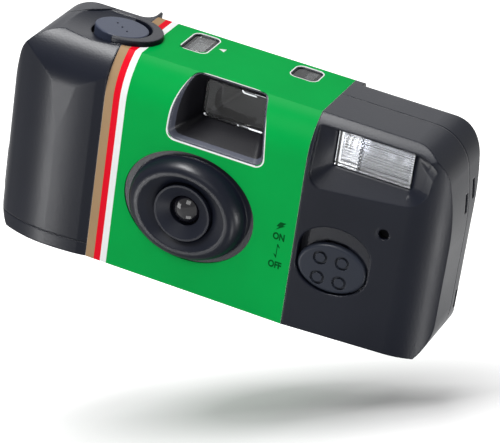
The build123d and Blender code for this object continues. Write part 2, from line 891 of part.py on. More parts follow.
deck_top_z = film_plate_top_z + deck_thickness
dial_x = -17.4
dial_y = -0.4
dial_post_radius = 1.2
sprocket_x = -11.2
sprocket_y = 4.35
pivot_x = -24.6
pivot_drop = 5.2
pivot_z = body_height - pivot_drop
ear_half_width = 0.9
ear_thickness = 0.8
trunnion_radius = 0.8
lever_half_width = 1.5
pawl_post_radius = 0.8
pawl_post_turn = -56.0
pawl_thickness = 0.4
knob_hole_radius = 6.3
top_plate_bottom_z = can_top_z + fit
top_plate_top_z = top_plate_bottom_z + frame_plate
can_chamber_radius = cartridge_can_radius + can_fit
can_outer_radius = can_chamber_radius + can_shell
roll_outer_radius = roll_chamber_radius + chamber_wall
dial_center = [(dial_x, dial_y)]
sprocket_center = [(sprocket_x, sprocket_y)]
roll_center = [(roll_x, roll_y)]
blade_pivot_x = -15.5
blade_pivot_rise = 9.0
blade_pivot = (blade_pivot_x, lens_z + blade_pivot_rise)
blade_pin_radius = 0.7


def chamber_block(grow, front_y_end, rear_y_end):
    """Tapering block from the light hole in front to the film gate behind."""
    with BuildPart() as block:
        with BuildSketch(facing(front_y_end)):
            with Locations((lens_x, lens_z)):
                Rectangle(front_gate_width + 2 * grow, front_gate_height + 2 * grow)
        with BuildSketch(facing(rear_y_end)):
            with Locations((lens_x, lens_z)):
                Rectangle(gate_width + 2 * grow, gate_height + 2 * grow)
        loft(ruled=True)
    return block.part


def tube(plane, center, outer, inner, height):
    """Round tube standing on a plane."""
    with BuildPart() as solid:
        with BuildSketch(plane):
            with Locations(center):
                Circle(outer)
                Circle(inner, mode=Mode.SUBTRACT)
        extrude(amount=height)
    return solid.part


def wheel_pawl():
    """Post on the top plate with a curved leaf that ends in a tip in the wheel's teeth."""
    post_reach = (can_chamber_radius + can_outer_radius) / 2 - slip
    turn = math.radians(pawl_post_turn)
    post = (cartridge_x + post_reach * math.cos(turn), cartridge_y + post_reach * math.sin(turn))
    leaf_radius = wheel_radius + fit
    tip_left_x = cartridge_x - pawl_thickness
    with BuildPart() as pawl:
        leaf_outer = leaf_radius + pawl_thickness
        add(tube(level(wheel_bottom_z), can_center, leaf_outer, leaf_radius, wheel_thickness))
        leaf_wedge = [(tip_left_x, cartridge_y), (tip_left_x, -reach), (post[0], -reach), post]
        add(prism(level(top_plate_top_z), leaf_wedge, reach), mode=Mode.INTERSECT)
        tip_y = cartridge_y - leaf_outer
        tip_top_y = cartridge_y - wheel_radius - slip
        add(brick(tip_left_x, cartridge_x, tip_y + slip, tip_top_y, wheel_bottom_z, wheel_top_z))
        post_foot_z = top_plate_bottom_z + frame_plate / 2
        add(rod(level(post_foot_z), [post], pawl_post_radius, wheel_top_z - post_foot_z))
    return pawl.part


# Walls of the two chambers, both open at the back
with BuildPart() as can_chamber:
    wall_height = top_plate_top_z - can_bottom_z
    add(tube(level(can_bottom_z), can_center, can_outer_radius, can_chamber_radius, wall_height))
    can_open_x = cartridge_x + can_chamber_radius * 2 / 3
    can_open_y = cartridge_y - can_chamber_radius / 2
    add(brick(-reach, can_open_x, can_open_y, reach, 0, reach), mode=Mode.SUBTRACT)
    add(brick(-reach, reach, film_plate_front_y + slip, reach, 0, reach), mode=Mode.SUBTRACT)
    add(rod(level(top_plate_bottom_z), can_center, can_outer_radius, frame_plate))
    scoop_wall_y = deck_rear_y - wall - fit
    add(brick(-reach, reach, scoop_wall_y, reach, top_plate_bottom_z, reach), mode=Mode.SUBTRACT)

with BuildPart() as roll_chamber:
    wall_height = roll_plate_bottom_z + chamber_wall - frame_bottom_z
    add(tube(level(frame_bottom_z), roll_center, roll_outer_radius, roll_chamber_radius, wall_height))
    add(brick(roll_x - 2 * chamber_wall, reach, roll_y + film_plate_rear_y / 2, reach, 0, reach), mode=Mode.SUBTRACT)
    add(brick(-reach, reach, film_plate_front_y + fit, reach, 0, reach), mode=Mode.SUBTRACT)
    add(rod(level(frame_bottom_z), roll_center, roll_outer_radius, chamber_wall))
    add(rod(level(roll_plate_bottom_z), roll_center, roll_outer_radius, chamber_wall))

with BuildPart() as main_frame:
    add(can_chamber.part)
    add(roll_chamber.part)
    add(
        brick(
            film_plate_left_x, film_plate_right_x, film_plate_front_y, film_plate_rear_y,
            frame_bottom_z, film_plate_top_z,
        )
    )
    for edge_z in (film_bottom_z - slip - guide_rail_height, film_top_z + slip):
        add(
            brick(
                film_plate_left_x, film_plate_right_x, film_plate_rear_y, guide_rail_y,
                edge_z, edge_z + guide_rail_height,
            )
        )
    for edge_z in (lens_z - gate_height / 2 - 2 * guide_rail_height, lens_z + gate_height / 2):
        add(
            brick(
                film_plate_left_x, film_bend_x, film_plate_rear_y, film_y - slip,
                edge_z + guide_rail_height / 2, edge_z + guide_rail_height,
            )
        )
    bottom_top_z = frame_bottom_z + bottom_plate_thickness
    add(
        brick(
            film_plate_left_x, roll_x, bottom_plate_front_y, film_plate_rear_y,
            frame_bottom_z, bottom_top_z,
        )
    )
    add(chamber_block(chamber_wall, lens_board_back_y, film_plate_rear_y))
    add(
        brick(
            lens_board_left_x, lens_board_right_x, lens_board_front_y, lens_board_back_y,
            lens_board_bottom_z, lens_board_top_z,
        )
    )
    # Decks beside the viewfinder, with the ears of the release lever and two posts
    tunnel_gap = 2 * chamber_wall
    ear_foot_z = top_plate_bottom_z + frame_plate / 2
    add(
        brick(
            deck_left_x, finder_left_x - tunnel_gap, -deck_front_reach, film_plate_rear_y,
            film_plate_top_z, deck_top_z,
        )
    )
    add(
        brick(
            finder_right_x + tunnel_gap, roll_x, bottom_plate_front_y, film_plate_rear_y,
            film_plate_top_z, deck_top_z,
        )
    )
    for side in (-1, 1):
        ear_y = button_y + side * (lever_half_width + slip + ear_thickness / 2)
        ear_front_y = ear_y - ear_thickness / 2
        ear_rear_y = ear_y + ear_thickness / 2
        ear_left_x = pivot_x - ear_half_width
        ear_right_x = pivot_x + ear_half_width
        add(rod(facing(ear_rear_y), [(pivot_x, pivot_z)], ear_half_width, ear_thickness))
        add(brick(ear_left_x, ear_right_x, ear_front_y, ear_rear_y, ear_foot_z, pivot_z))
    dial_post_height = body_height - deck_top_z - 2 * overrun
    add(rod(level(deck_top_z), dial_center, dial_post_radius, dial_post_height - overrun / 2))
    # Sprung pawl that stops the wheel from turning back, moulded on the top plate
    add(wheel_pawl())
    # Cuts: gate, light hole, knob hole, lever pivots, sprocket slot and shaft bore
    add(chamber_block(0, lens_board_back_y, film_plate_rear_y), mode=Mode.SUBTRACT)
    gate_half = gate_width / 2
    add(
        brick(
            lens_x - gate_half, lens_x + gate_half, film_plate_front_y, film_plate_rear_y + overrun,
            lens_z - gate_height / 2, lens_z + gate_height / 2,
        ),
        mode=Mode.SUBTRACT,
    )
    board_cut = 2 * lens_board_thickness
    light_plane = facing(lens_board_back_y + lens_board_thickness)
    add(rod(light_plane, [(lens_x, lens_z)], light_hole_radius, 2 * board_cut), mode=Mode.SUBTRACT)
    add(rod(level(can_top_z), can_center, knob_hole_radius, 2 * frame_plate), mode=Mode.SUBTRACT)
    pivot_plane = facing(button_y + reach / 2)
    add(rod(pivot_plane, [(pivot_x, pivot_z)], trunnion_radius + slip / 2, reach), mode=Mode.SUBTRACT)
    sprocket_slot_radius = 7.6
    sprocket_slot_z = lens_z + gate_height / 2 + chamber_wall
    sprocket_slot_height = 3.0
    add(
        rod(level(sprocket_slot_z), sprocket_center, sprocket_slot_radius, sprocket_slot_height),
        mode=Mode.SUBTRACT,
    )
    shaft_radius = 0.8
    shaft_bore_radius = shaft_radius + slip
    add(rod(level(sprocket_slot_z), sprocket_center, shaft_bore_radius, reach), mode=Mode.SUBTRACT)
    add(frame_block, mode=Mode.INTERSECT)
    add(rod(facing(lens_board_front_y), [blade_pivot], blade_pin_radius, 3 * blade_pin_radius))
main_frame.part.label = "main_frame"
export_step(main_frame.part, "parts/main_frame.step")

# Shutter button: oval cap on a cross bar that hooks under the deck, with a stem below
cap_height = 3.6
cap_crown = 0.35
bar_width = 4.0
bar_thickness = 0.7
bar_overhang = 1.3
stem_radius = 1.2
button_stem_height = 0.3
lever_play = 0.2
cap_bottom_z = button_top_z - cap_height
bar_bottom_z = cap_bottom_z - bar_thickness
stem_bottom_z = bar_bottom_z - button_stem_height
lever_thickness = 1.0
lever_top_z = stem_bottom_z - lever_play

with BuildPart() as shutter_button:
    with BuildSketch(level(cap_bottom_z)):
        add(button_outline(0))
    extrude(amount=cap_height)
    crown_edge = shutter_button.faces().sort_by(Axis.Z)[-1].edges()
    fillet(crown_edge, radius=cap_crown)
    with BuildSketch(level(bar_bottom_z)):
        with Locations((button_x, button_y)):
            Rectangle(bar_width, 2 * (button_half_depth + bar_overhang))
    extrude(amount=bar_thickness)
    stem_height = button_stem_height + bar_thickness / 2
    add(rod(level(stem_bottom_z), [(button_x, button_y)], stem_radius, stem_height))
shutter_button.part.label = "shutter_button"
export_step(shutter_button.part, "parts/shutter_button.step")

# Release lever: rocks on two trunnions, one arm under the button, one under the catch
right_arm_length = 3.0
lever_boss_radius = 1.2
lever_tip_share = 0.6
left_arm_length = pivot_x - button_x + stem_radius / 2
left_arm_bottom_z = lever_top_z - lever_tip_share * lever_thickness

with BuildPart() as release_lever:
    with BuildSketch(facing(button_y + lever_half_width)):
        with Locations((pivot_x, pivot_z)):
            Circle(lever_boss_radius)
        with BuildLine():
            Polyline(
                (pivot_x - left_arm_length, left_arm_bottom_z),
                (pivot_x, lever_top_z - 2 * lever_thickness),
                (pivot_x + right_arm_length, pivot_z - lever_thickness),
                (pivot_x + right_arm_length, pivot_z),
                (pivot_x + lever_thickness, pivot_z + lever_thickness / 2),
                (pivot_x, lever_top_z),
                (pivot_x - left_arm_length, lever_top_z),
                close=True,
            )
        make_face()
    extrude(amount=2 * lever_half_width)
    trunnion_length = 2 * (lever_half_width + ear_thickness)
    add(rod(facing(button_y + trunnion_length / 2), [(pivot_x, pivot_z)], trunnion_radius, trunnion_length))
release_lever.part.label = "release_lever"
export_step(release_lever.part, "parts/release_lever.step")

# Film cartridge: tin can with its light trap lip, and the spool that the wheel turns
can_wall = 0.35
cap_rim = 0.5
lip_length = 4.6
lip_thickness = 1.5
spool_radius = 5.6

with BuildPart() as film_cartridge:
    add(rod(level(can_bottom_z), can_center, cartridge_can_radius - can_wall, cartridge_can_height))
    rim_height = 2 * cap_rim
    for rim_z in (can_bottom_z, can_top_z - rim_height):
        add(rod(level(rim_z), can_center, cartridge_can_radius, rim_height))
    inner_height = cartridge_can_height - 2 * rim_height
    inner_radius = cartridge_can_radius - 2 * can_wall
    add(
        rod(level(can_bottom_z + rim_height), can_center, inner_radius, inner_height),
        mode=Mode.SUBTRACT,
    )
    with BuildSketch(level(can_bottom_z + rim_height)):
        lip_y = film_y + film_thickness / 2
        with Locations((cartridge_x + cartridge_can_radius * 2 / 3, lip_y)):
            Rectangle(lip_length, lip_thickness)
    extrude(amount=inner_height)
    add(rod(level(can_bottom_z - overrun), can_center, spool_radius + slip, reach), mode=Mode.SUBTRACT)
    add(
        brick(
            cartridge_x, reach, film_y - slip, film_y + film_thickness + slip, film_bottom_z, film_top_z
        ),
        mode=Mode.SUBTRACT,
    )
film_cartridge.part.label = "film_cartridge"
export_step(film_cartridge.part, "parts/film_cartridge.step")

spool_socket_radius = 3.4
spool_rib = 1.0
socket_depth = cartridge_can_height / 5
hub_length = wheel_gap + socket_depth / 2
hub_bottom_z = wheel_bottom_z - hub_length

with BuildPart() as cartridge_spool:
    add(rod(level(can_bottom_z), can_center, spool_radius, wheel_bottom_z - slip - can_bottom_z))
    add(
        rod(level(can_bottom_z - overrun), can_center, spool_socket_radius, socket_depth + overrun),
        mode=Mode.SUBTRACT,
    )
    add(rod(level(hub_bottom_z - slip), can_center, spool_socket_radius, reach), mode=Mode.SUBTRACT)
    add(
        brick(
            cartridge_x - spool_socket_radius, cartridge_x + spool_socket_radius,
            cartridge_y - spool_rib / 2, cartridge_y + spool_rib / 2,
            can_bottom_z, can_bottom_z + socket_depth,
        )
    )
cartridge_spool.part.label = "cartridge_spool"
export_step(cartridge_spool.part, "parts/cartridge_spool.step")

# Advance wheel: toothed rim, dished web and a hub that drives the spool
wheel_teeth = 60
tooth_depth = 0.35
rim_width = 2.2
web_drop = 0.7
hub_radius = 3.0

with BuildPart() as advance_wheel:
    with BuildSketch(level(wheel_bottom_z)):
        with Locations((cartridge_x, cartridge_y)):
            Circle(wheel_radius)
            with PolarLocations(wheel_radius, wheel_teeth):
                Rectangle(2 * tooth_depth, 2 * tooth_depth, rotation=45, mode=Mode.SUBTRACT)
    extrude(amount=wheel_thickness)
    web_radius = wheel_radius - rim_width
    add(
        tube(level(wheel_top_z - web_drop), can_center, web_radius, 2 * hub_radius, reach),
        mode=Mode.SUBTRACT,
    )
    add(rod(level(hub_bottom_z), can_center, hub_radius, hub_length))
advance_wheel.part.label = "advance_wheel"
export_step(advance_wheel.part, "parts/advance_wheel.step")

# Film: the strip across the gate, the full roll and its spool
film_left_x = -28.5
perforation_pitch = 4.75
perforation_count = 9
perforation_width = 2.0
perforation_height = 2.8
perforation_margin = 2.0
film_end_y = roll_y + roll_radius + slip
sprocket_tip_radius = 6.7
sprocket_reach = film_y - sprocket_y
tooth_sweep = 2 * math.sqrt(sprocket_tip_radius**2 - sprocket_reach**2) + 2 * fit

with BuildPart() as film_strip:
    with BuildSketch(level(film_bottom_z)):
        with BuildLine():
            Polyline(
                (film_left_x, film_y),
                (film_bend_x, film_y),
                (roll_x, film_end_y),
                (roll_x, film_end_y + film_thickness),
                (film_bend_x, film_y + film_thickness),
                (film_left_x, film_y + film_thickness),
                close=True,
            )
        make_face()
    extrude(amount=film_width)
    perforation_z = film_half - perforation_margin - perforation_height / 2
    with BuildSketch(facing(film_y + overrun)):
        with Locations((sprocket_x + perforation_pitch, lens_z)):
            with GridLocations(perforation_pitch, 2 * perforation_z, perforation_count, 2):
                Rectangle(perforation_width, perforation_height)
        # The strip stands still, so the teeth sweep through one long slot
        with Locations((sprocket_x, lens_z + perforation_z)):
            Rectangle(tooth_sweep, perforation_height)
    extrude(amount=2 * overrun, mode=Mode.SUBTRACT)
film_strip.part.label = "film_strip"
export_step(film_strip.part, "parts/film_strip.step")

with BuildPart() as film_roll:
    add(tube(level(film_bottom_z), roll_center, roll_radius, roll_core_radius, film_width))
film_roll.part.label = "film_roll"
export_step(film_roll.part, "parts/film_roll.step")

with BuildPart() as supply_spool:
    add(rod(level(film_bottom_z), roll_center, roll_core_radius, film_width))
    for flange_z in (film_bottom_z - roll_flange_thickness, film_top_z):
        add(rod(level(flange_z), roll_center, roll_flange_radius, roll_flange_thickness))
supply_spool.part.label = "supply_spool"
export_step(supply_spool.part, "parts/supply_spool.step")

# Sprocket: eight teeth in the upper perforations, a shaft with its cam and counter finger
sprocket_body_radius = 5.6
sprocket_teeth = 8
tooth_width = 1.4
tooth_height = 1.6
sprocket_body_bottom_z = sprocket_slot_z + slip
sprocket_body_height = sprocket_slot_height - 2 * slip
tooth_z = lens_z + perforation_z
cam_rise = 2.9
cam_bottom_z = deck_top_z + cam_rise
cam_radius = 2.0
finger_radius = 1.1
dial_drop = 4.2
dial_bottom_z = body_height - dial_drop
dial_thickness = 0.9

with BuildPart() as sprocket_wheel:
    add(rod(level(sprocket_body_bottom_z), sprocket_center, sprocket_body_radius, sprocket_body_height))
    with BuildSketch(level(tooth_z - tooth_height / 2)):
        with Locations((sprocket_x, sprocket_y)):
            with PolarLocations(sprocket_tip_radius / 2, sprocket_teeth):
                Rectangle(sprocket_tip_radius, tooth_width)
    extrude(amount=tooth_height)
    shaft_top_z = dial_bottom_z + dial_thickness
    shaft_length = shaft_top_z - sprocket_body_bottom_z
    add(rod(level(sprocket_body_bottom_z), sprocket_center, shaft_radius, shaft_length))
    with BuildSketch(level(cam_bottom_z)):
        with Locations((sprocket_x - cam_radius / 4, sprocket_y)):
            Circle(3 * cam_radius / 4)
    extrude(amount=tooth_height)
    finger_left_x = sprocket_x - finger_radius
    finger_half = shaft_radius / 2
    add(
        brick(
            finger_left_x, sprocket_x, sprocket_y - finger_half, sprocket_y + finger_half,
            dial_bottom_z, shaft_top_z,
        )
    )
sprocket_wheel.part.label = "sprocket_wheel"
export_step(sprocket_wheel.part, "parts/sprocket_wheel.step")

# Counter dial: notched disc with its numbers under the window
dial_radius = 6.6
dial_notches = 30
notch_radius = 0.4

with BuildPart() as counter_dial:
    with BuildSketch(level(dial_bottom_z)):
        with Locations((dial_x, dial_y)):
            Circle(dial_radius)
            Circle(dial_post_radius + slip, mode=Mode.SUBTRACT)
            with PolarLocations(dial_radius, dial_notches):
                Circle(notch_radius, mode=Mode.SUBTRACT)
    extrude(amount=dial_thickness)
counter_dial.part.label = "counter_dial"
export_step(counter_dial.part, "parts/counter_dial.step")

# Kick lever: turns on the dial post and strikes the shutter blade with its finger
kick_rise = 2.7
kick_bottom_z = deck_top_z + kick_rise
kick_thickness = 1.2
kick_hub_radius = 2.3
kick_tip_x = -18.55
kick_tip_y = -10.2
kick_half_width = 0.35
kick_finger_rise = 16.4
kick_finger_bottom_z = lens_z + kick_finger_rise
kick_half_depth = 0.4

with BuildPart() as kick_lever:
    add(tube(level(kick_bottom_z), dial_center, kick_hub_radius, dial_post_radius + slip, kick_thickness))
    arm = [
        (dial_x - 2 * dial_post_radius, dial_y - dial_post_radius),
        (kick_tip_x - kick_half_width, kick_tip_y - kick_half_depth),
        (kick_tip_x + kick_half_width, kick_tip_y - kick_half_depth),
        (dial_x + 2 * dial_post_radius / 3, dial_y - 3 * dial_post_radius / 2),
    ]
    add(prism(level(kick_bottom_z), arm, kick_thickness))
    add(
        brick(
            kick_tip_x - kick_half_width, kick_tip_x + kick_half_width,
            kick_tip_y - kick_half_depth, kick_tip_y + kick_half_depth,
            kick_finger_bottom_z, kick_bottom_z + kick_thickness,
        )
    )
    add(rod(level(0), dial_center, dial_post_radius + slip, reach), mode=Mode.SUBTRACT)
kick_lever.part.label = "kick_lever"
export_step(kick_lever.part, "parts/kick_lever.step")

# Shutter: a dished plate in front, the blade on its pin between plate and lens board
plate_gap = 0.12
plate_thickness = 0.6
plate_front_y = inner_front_y + plate_gap
plate_back_y = plate_front_y + plate_thickness
plate_foot_rise = 0.5
plate_bottom_z = lens_board_bottom_z + plate_foot_rise
skirt_thickness = 0.6
seat_radius = 5.4
seat_bore_radius = 2.6
seat_height = 0.6
ear_slot_right_x = -12.6

with BuildPart() as shutter_plate:
    add(
        brick(
            lens_board_left_x, lens_board_right_x, plate_front_y, lens_board_front_y,
            plate_bottom_z, lens_board_top_z,
        )
    )
    add(
        brick(
            lens_board_left_x + skirt_thickness, lens_board_right_x - skirt_thickness,
            plate_back_y, reach, plate_bottom_z + skirt_thickness, lens_board_top_z - skirt_thickness,
        ),
        mode=Mode.SUBTRACT,
    )
    add(
        brick(
            lens_board_left_x + skirt_thickness, ear_slot_right_x,
            plate_back_y, reach, lens_z, lens_board_top_z + overrun,
        ),
        mode=Mode.SUBTRACT,
    )
    add(rod(facing(plate_front_y), [(lens_x, lens_z)], seat_radius, seat_height))
    add(rod(facing(lens_board_front_y), [(lens_x, lens_z)], seat_bore_radius, reach), mode=Mode.SUBTRACT)
    add(rod(facing(lens_board_front_y), [blade_pivot], blade_pin_radius + slip / 2, reach), mode=Mode.SUBTRACT)
shutter_plate.part.label = "shutter_plate"
export_step(shutter_plate.part, "parts/shutter_plate.step")

blade_thickness = 0.3
blade_disc_radius = 2.9
blade_hub_radius = 1.7
blade_arm_half_width = 0.9
blade_back_y = plate_back_y + 2 * slip + blade_thickness
blade_ear_x = -17.5
blade_ear_half_width = 0.5
blade_ear_rise = 17.5
blade_ear_z = lens_z + blade_ear_rise

with BuildPart() as shutter_blade:
    with BuildSketch(facing(blade_back_y)):
        with Locations((lens_x, lens_z)):
            Circle(blade_disc_radius)
        with Locations(blade_pivot):
            Circle(blade_hub_radius)
        with BuildLine():
            Polyline(
                (lens_x, lens_z - blade_arm_half_width),
                (lens_x, lens_z + blade_arm_half_width),
                (blade_pivot[0], blade_pivot[1] + blade_arm_half_width),
                (blade_pivot[0], blade_pivot[1] - blade_arm_half_width),
                close=True,
            )
        make_face()
        with BuildLine():
            Polyline(
                (blade_ear_x - blade_ear_half_width, blade_ear_z),
                (blade_ear_x + blade_ear_half_width, blade_ear_z),
                (blade_pivot[0] + blade_ear_half_width, blade_pivot[1]),
                (blade_pivot[0] - blade_ear_half_width, blade_pivot[1]),
                close=True,
            )
        make_face()
        with Locations(blade_pivot):
            Circle(blade_pin_radius + slip / 2, mode=Mode.SUBTRACT)
    extrude(amount=blade_thickness)
shutter_blade.part.label = "shutter_blade"
export_step(shutter_blade.part, "parts/shutter_blade.step")

# Lens stack: stop plate on the seat, domed lens, and the dished ring that holds them
stop_thickness = 0.2
stop_radius = 5.2
stop_bore_radius = 1.6
lens_radius = 5.2
lens_edge = 0.9
lens_dome_radius = 3.5
lens_dome_height = 1.2
ring_radius = 6.8
ring_bore_radius = 5.45
ring_front_y = mound_y + 0.5
ring_rim_radius = 6.3
ring_inner_radius = 3.65
ring_floor_depth = 1.7
stop_back_y = plate_front_y - seat_height
lens_back_y = stop_back_y - stop_thickness

with BuildPart() as aperture_plate:
    add(tube(facing(stop_back_y), [(lens_x, lens_z)], stop_radius, stop_bore_radius, stop_thickness))
aperture_plate.part.label = "aperture_plate"
export_step(aperture_plate.part, "parts/aperture_plate.step")

with BuildPart() as taking_lens:
    with BuildSketch(across(lens_x)):
        with BuildLine():
            flat = Line((lens_back_y, lens_z), (lens_back_y, lens_z + lens_radius))
            edge = Line(flat @ 1, (lens_back_y - lens_edge, lens_z + lens_radius))
            step = Line(edge @ 1, (lens_back_y - lens_edge, lens_z + lens_dome_radius))
            dome = SagittaArc(
                step @ 1, (lens_back_y - lens_edge, lens_z - lens_dome_radius), -lens_dome_height
            )
            Polyline(
                dome @ 1,
                (lens_back_y - lens_edge, lens_z - lens_radius),
                (lens_back_y, lens_z - lens_radius),
                flat @ 0,
            )
        make_face()
        with Locations((lens_back_y, lens_z - reach / 2)):
            Rectangle(reach, reach, mode=Mode.SUBTRACT)
    revolve(axis=Axis((lens_x, 0, lens_z), (0, 1, 0)))
taking_lens.part.label = "taking_lens"
export_step(taking_lens.part, "parts/taking_lens.step")

with BuildPart() as lens_retainer:
    with BuildSketch(across(lens_x)):
        floor_y = ring_front_y + ring_floor_depth
        shoulder_y = lens_back_y - lens_edge - slip
        with BuildLine():
            Polyline(
                (plate_front_y - slip, lens_z + ring_radius),
                (ring_front_y, lens_z + ring_radius),
                (ring_front_y, lens_z + ring_rim_radius),
                (floor_y, lens_z + ring_inner_radius),
                (shoulder_y, lens_z + ring_inner_radius),
                (shoulder_y, lens_z + ring_bore_radius),
                (plate_front_y - slip, lens_z + ring_bore_radius),
                close=True,
            )
        make_face()
    revolve(axis=Axis((lens_x, 0, lens_z), (0, 1, 0)))
lens_retainer.part.label = "lens_retainer"
export_step(lens_retainer.part, "parts/lens_retainer.step")

# Viewfinder: clear front lens, tapering tunnel and eyepiece
tunnel_wall = 0.8
finder_slip = 0.1
tunnel_front_y = finder_plate_y + finder_slip
tunnel_rear_y = 10.6
finder_lens_thickness = 1.2
finder_bulge = 0.5
rear_pane_width = 8.0
rear_pane_height = 5.6
rear_flange = 0.9
pane_thickness = 1.2
flange_thickness = 0.35


def tunnel_block(grow):
    """Tapering block from the front lens to the eyepiece, grown for its wall."""
    front_grow = 2 * (finder_slip + grow)
    with BuildPart() as block:
        with BuildSketch(facing(tunnel_front_y)):
            with Locations((finder_x, finder_z)):
                RectangleRounded(finder_width + front_grow, finder_height + front_grow, finder_corner)
        with BuildSketch(facing(tunnel_rear_y)):
            with Locations((finder_x, finder_z)):
                RectangleRounded(rear_pane_width + front_grow, rear_pane_height + front_grow, finder_corner)
        loft()
    return block.part


with BuildPart() as viewfinder_tunnel:
    add(tunnel_block(tunnel_wall))
    with BuildSketch(facing(tunnel_front_y + finder_lens_thickness)):
        with Locations((finder_x, finder_z)):
            RectangleRounded(
                finder_width + 2 * finder_slip, finder_height + 2 * finder_slip, finder_corner
            )
    extrude(amount=2 * finder_lens_thickness, mode=Mode.SUBTRACT)
    add(tunnel_block(0), mode=Mode.SUBTRACT)
    with BuildSketch(facing(tunnel_rear_y + overrun)):
        with Locations((finder_x, finder_z)):
            RectangleRounded(
                rear_pane_width + 2 * finder_slip, rear_pane_height + 2 * finder_slip, finder_corner
            )
    extrude(amount=2 * overrun, mode=Mode.SUBTRACT)
viewfinder_tunnel.part.label = "viewfinder_tunnel"
export_step(viewfinder_tunnel.part, "parts/viewfinder_tunnel.step")

with BuildPart() as viewfinder_front_lens:
    with BuildSketch(facing(tunnel_front_y + finder_lens_thickness)):
        with Locations((finder_x, finder_z)):
            RectangleRounded(finder_width, finder_height, finder_corner)
    extrude(amount=finder_lens_thickness)
    with Locations((finder_x, tunnel_front_y + finder_lens_thickness + 2 * finder_width, finder_z)):
        Sphere(2 * finder_width + finder_bulge, mode=Mode.SUBTRACT)
viewfinder_front_lens.part.label = "viewfinder_front_lens"
export_step(viewfinder_front_lens.part, "parts/viewfinder_front_lens.step")

with BuildPart() as viewfinder_eyepiece:
    with BuildSketch(facing(tunnel_rear_y + flange_thickness)):
        with Locations((finder_x, finder_z)):
            RectangleRounded(
                rear_pane_width + 2 * rear_flange, rear_pane_height + 2 * rear_flange, finder_corner
            )
    extrude(amount=flange_thickness)
    with BuildSketch(facing(tunnel_rear_y)):
        with Locations((finder_x, finder_z)):
            RectangleRounded(rear_pane_width, rear_pane_height, finder_corner)
    extrude(amount=pane_thickness)
viewfinder_eyepiece.part.label = "viewfinder_eyepiece"
export_step(viewfinder_eyepiece.part, "parts/viewfinder_eyepiece.step")

# Counter window: clear magnifier with a flange under the top
window_slip = 0.08
window_flange = 0.7
window_flange_thickness = 0.6
window_drop = 0.4

with BuildPart() as counter_window:
    with BuildSketch(level(inner_top_z)):
        add(counter_outline(-window_slip))
    extrude(amount=body_height - window_drop - inner_top_z)
    with BuildSketch(level(inner_top_z - window_flange_thickness)):
        add(counter_outline(window_flange))
    extrude(amount=window_flange_thickness)
counter_window.part.label = "counter_window"
export_step(counter_window.part, "parts/counter_window.step")

# Ready light: small neon lamp under a clear pipe that fills the window
lamp_radius = 1.2
lamp_height = 2.4
lamp_lead_thickness = 0.5
pipe_foot_z = deck_top_z + lamp_height + slip
pipe_foot_radius = 2.2

with BuildPart() as ready_lamp:
    add(rod(level(deck_top_z), [(lamp_window_x, lamp_window_y)], lamp_radius, lamp_height))
    lead_half = lamp_lead_thickness / 2
    add(
        brick(
            lamp_window_x - lead_half, lamp_window_x + lead_half, lamp_window_y - 2 * lamp_radius,
            lamp_window_y, deck_top_z, deck_top_z + lamp_lead_thickness,
        )
    )
ready_lamp.part.label = "ready_lamp"
export_step(ready_lamp.part, "parts/ready_lamp.step")

with BuildPart() as ready_light_pipe:
    with BuildSketch(level(inner_top_z - window_flange_thickness)):
        add(lamp_outline(-window_slip))
    extrude(amount=body_height - window_drop - inner_top_z + window_flange_thickness)
    pipe_length = inner_top_z - window_flange_thickness - pipe_foot_z
    add(rod(level(pipe_foot_z), [(lamp_window_x, lamp_window_y)], pipe_foot_radius, pipe_length))
ready_light_pipe.part.label = "ready_light_pipe"
export_step(ready_light_pipe.part, "parts/ready_light_pipe.step")

# Flash head: clear panel with ribs inside, bright reflector trough and the tube
panel_slip = 0.1
panel_back_y = flash_panel_y + 1.1
panel_front_y = flash_panel_y - 0.2
panel_flange = 0.7
panel_flange_thickness = 0.6
panel_rib_count = 9
panel_rib_depth = 0.35
reflector_wall = 0.5
reflector_front_y = panel_back_y + panel_flange_thickness + slip
reflector_back_y = -1.2
reflector_width = 17.2
reflector_mouth = 9.0
reflector_back_height = 4.6
tube_radius = 1.5
tube_y = -3.6
tube_half_length = 10.0

with BuildPart() as flash_window:
    with BuildSketch(facing(panel_back_y)):
        with Locations((flash_x, flash_z)):
            Rectangle(flash_width - 2 * panel_slip, flash_height - 2 * panel_slip)
    extrude(amount=panel_back_y - panel_front_y)
    with BuildSketch(facing(panel_back_y + panel_flange_thickness)):
        with Locations((flash_x, flash_z)):
            Rectangle(flash_width + 2 * panel_flange, flash_height + 2 * panel_flange)
    extrude(amount=panel_flange_thickness)
    rib_pitch = (flash_height - 2 * overrun) / panel_rib_count
    with BuildSketch(facing(panel_back_y + panel_flange_thickness)):
        with Locations((flash_x, flash_z)):
            with GridLocations(0, rib_pitch, 1, panel_rib_count):
                Rectangle(flash_width - 2 * overrun, rib_pitch / 2)
    extrude(amount=panel_rib_depth, mode=Mode.SUBTRACT)
flash_window.part.label = "flash_window"
export_step(flash_window.part, "parts/flash_window.step")


def reflector_form(inset):
    """Trough that opens toward the panel, drawn inset."""
    back_y = reflector_back_y - inset
    mouth_half = reflector_mouth / 2 - inset
    back_half = reflector_back_height / 2 - inset
    with BuildPart() as form:
        with BuildSketch(across(flash_x - reflector_width / 2 + inset)):
            with BuildLine():
                foot = Line((reflector_front_y - inset / 2, flash_z - mouth_half), (tube_y, flash_z - back_half))
                turn = ThreePointArc(foot @ 1, (back_y, flash_z), (tube_y, flash_z + back_half))
                Polyline(turn @ 1, (reflector_front_y - inset / 2, flash_z + mouth_half), foot @ 0)
            make_face()
        extrude(amount=reflector_width - 2 * inset)
    return form.part


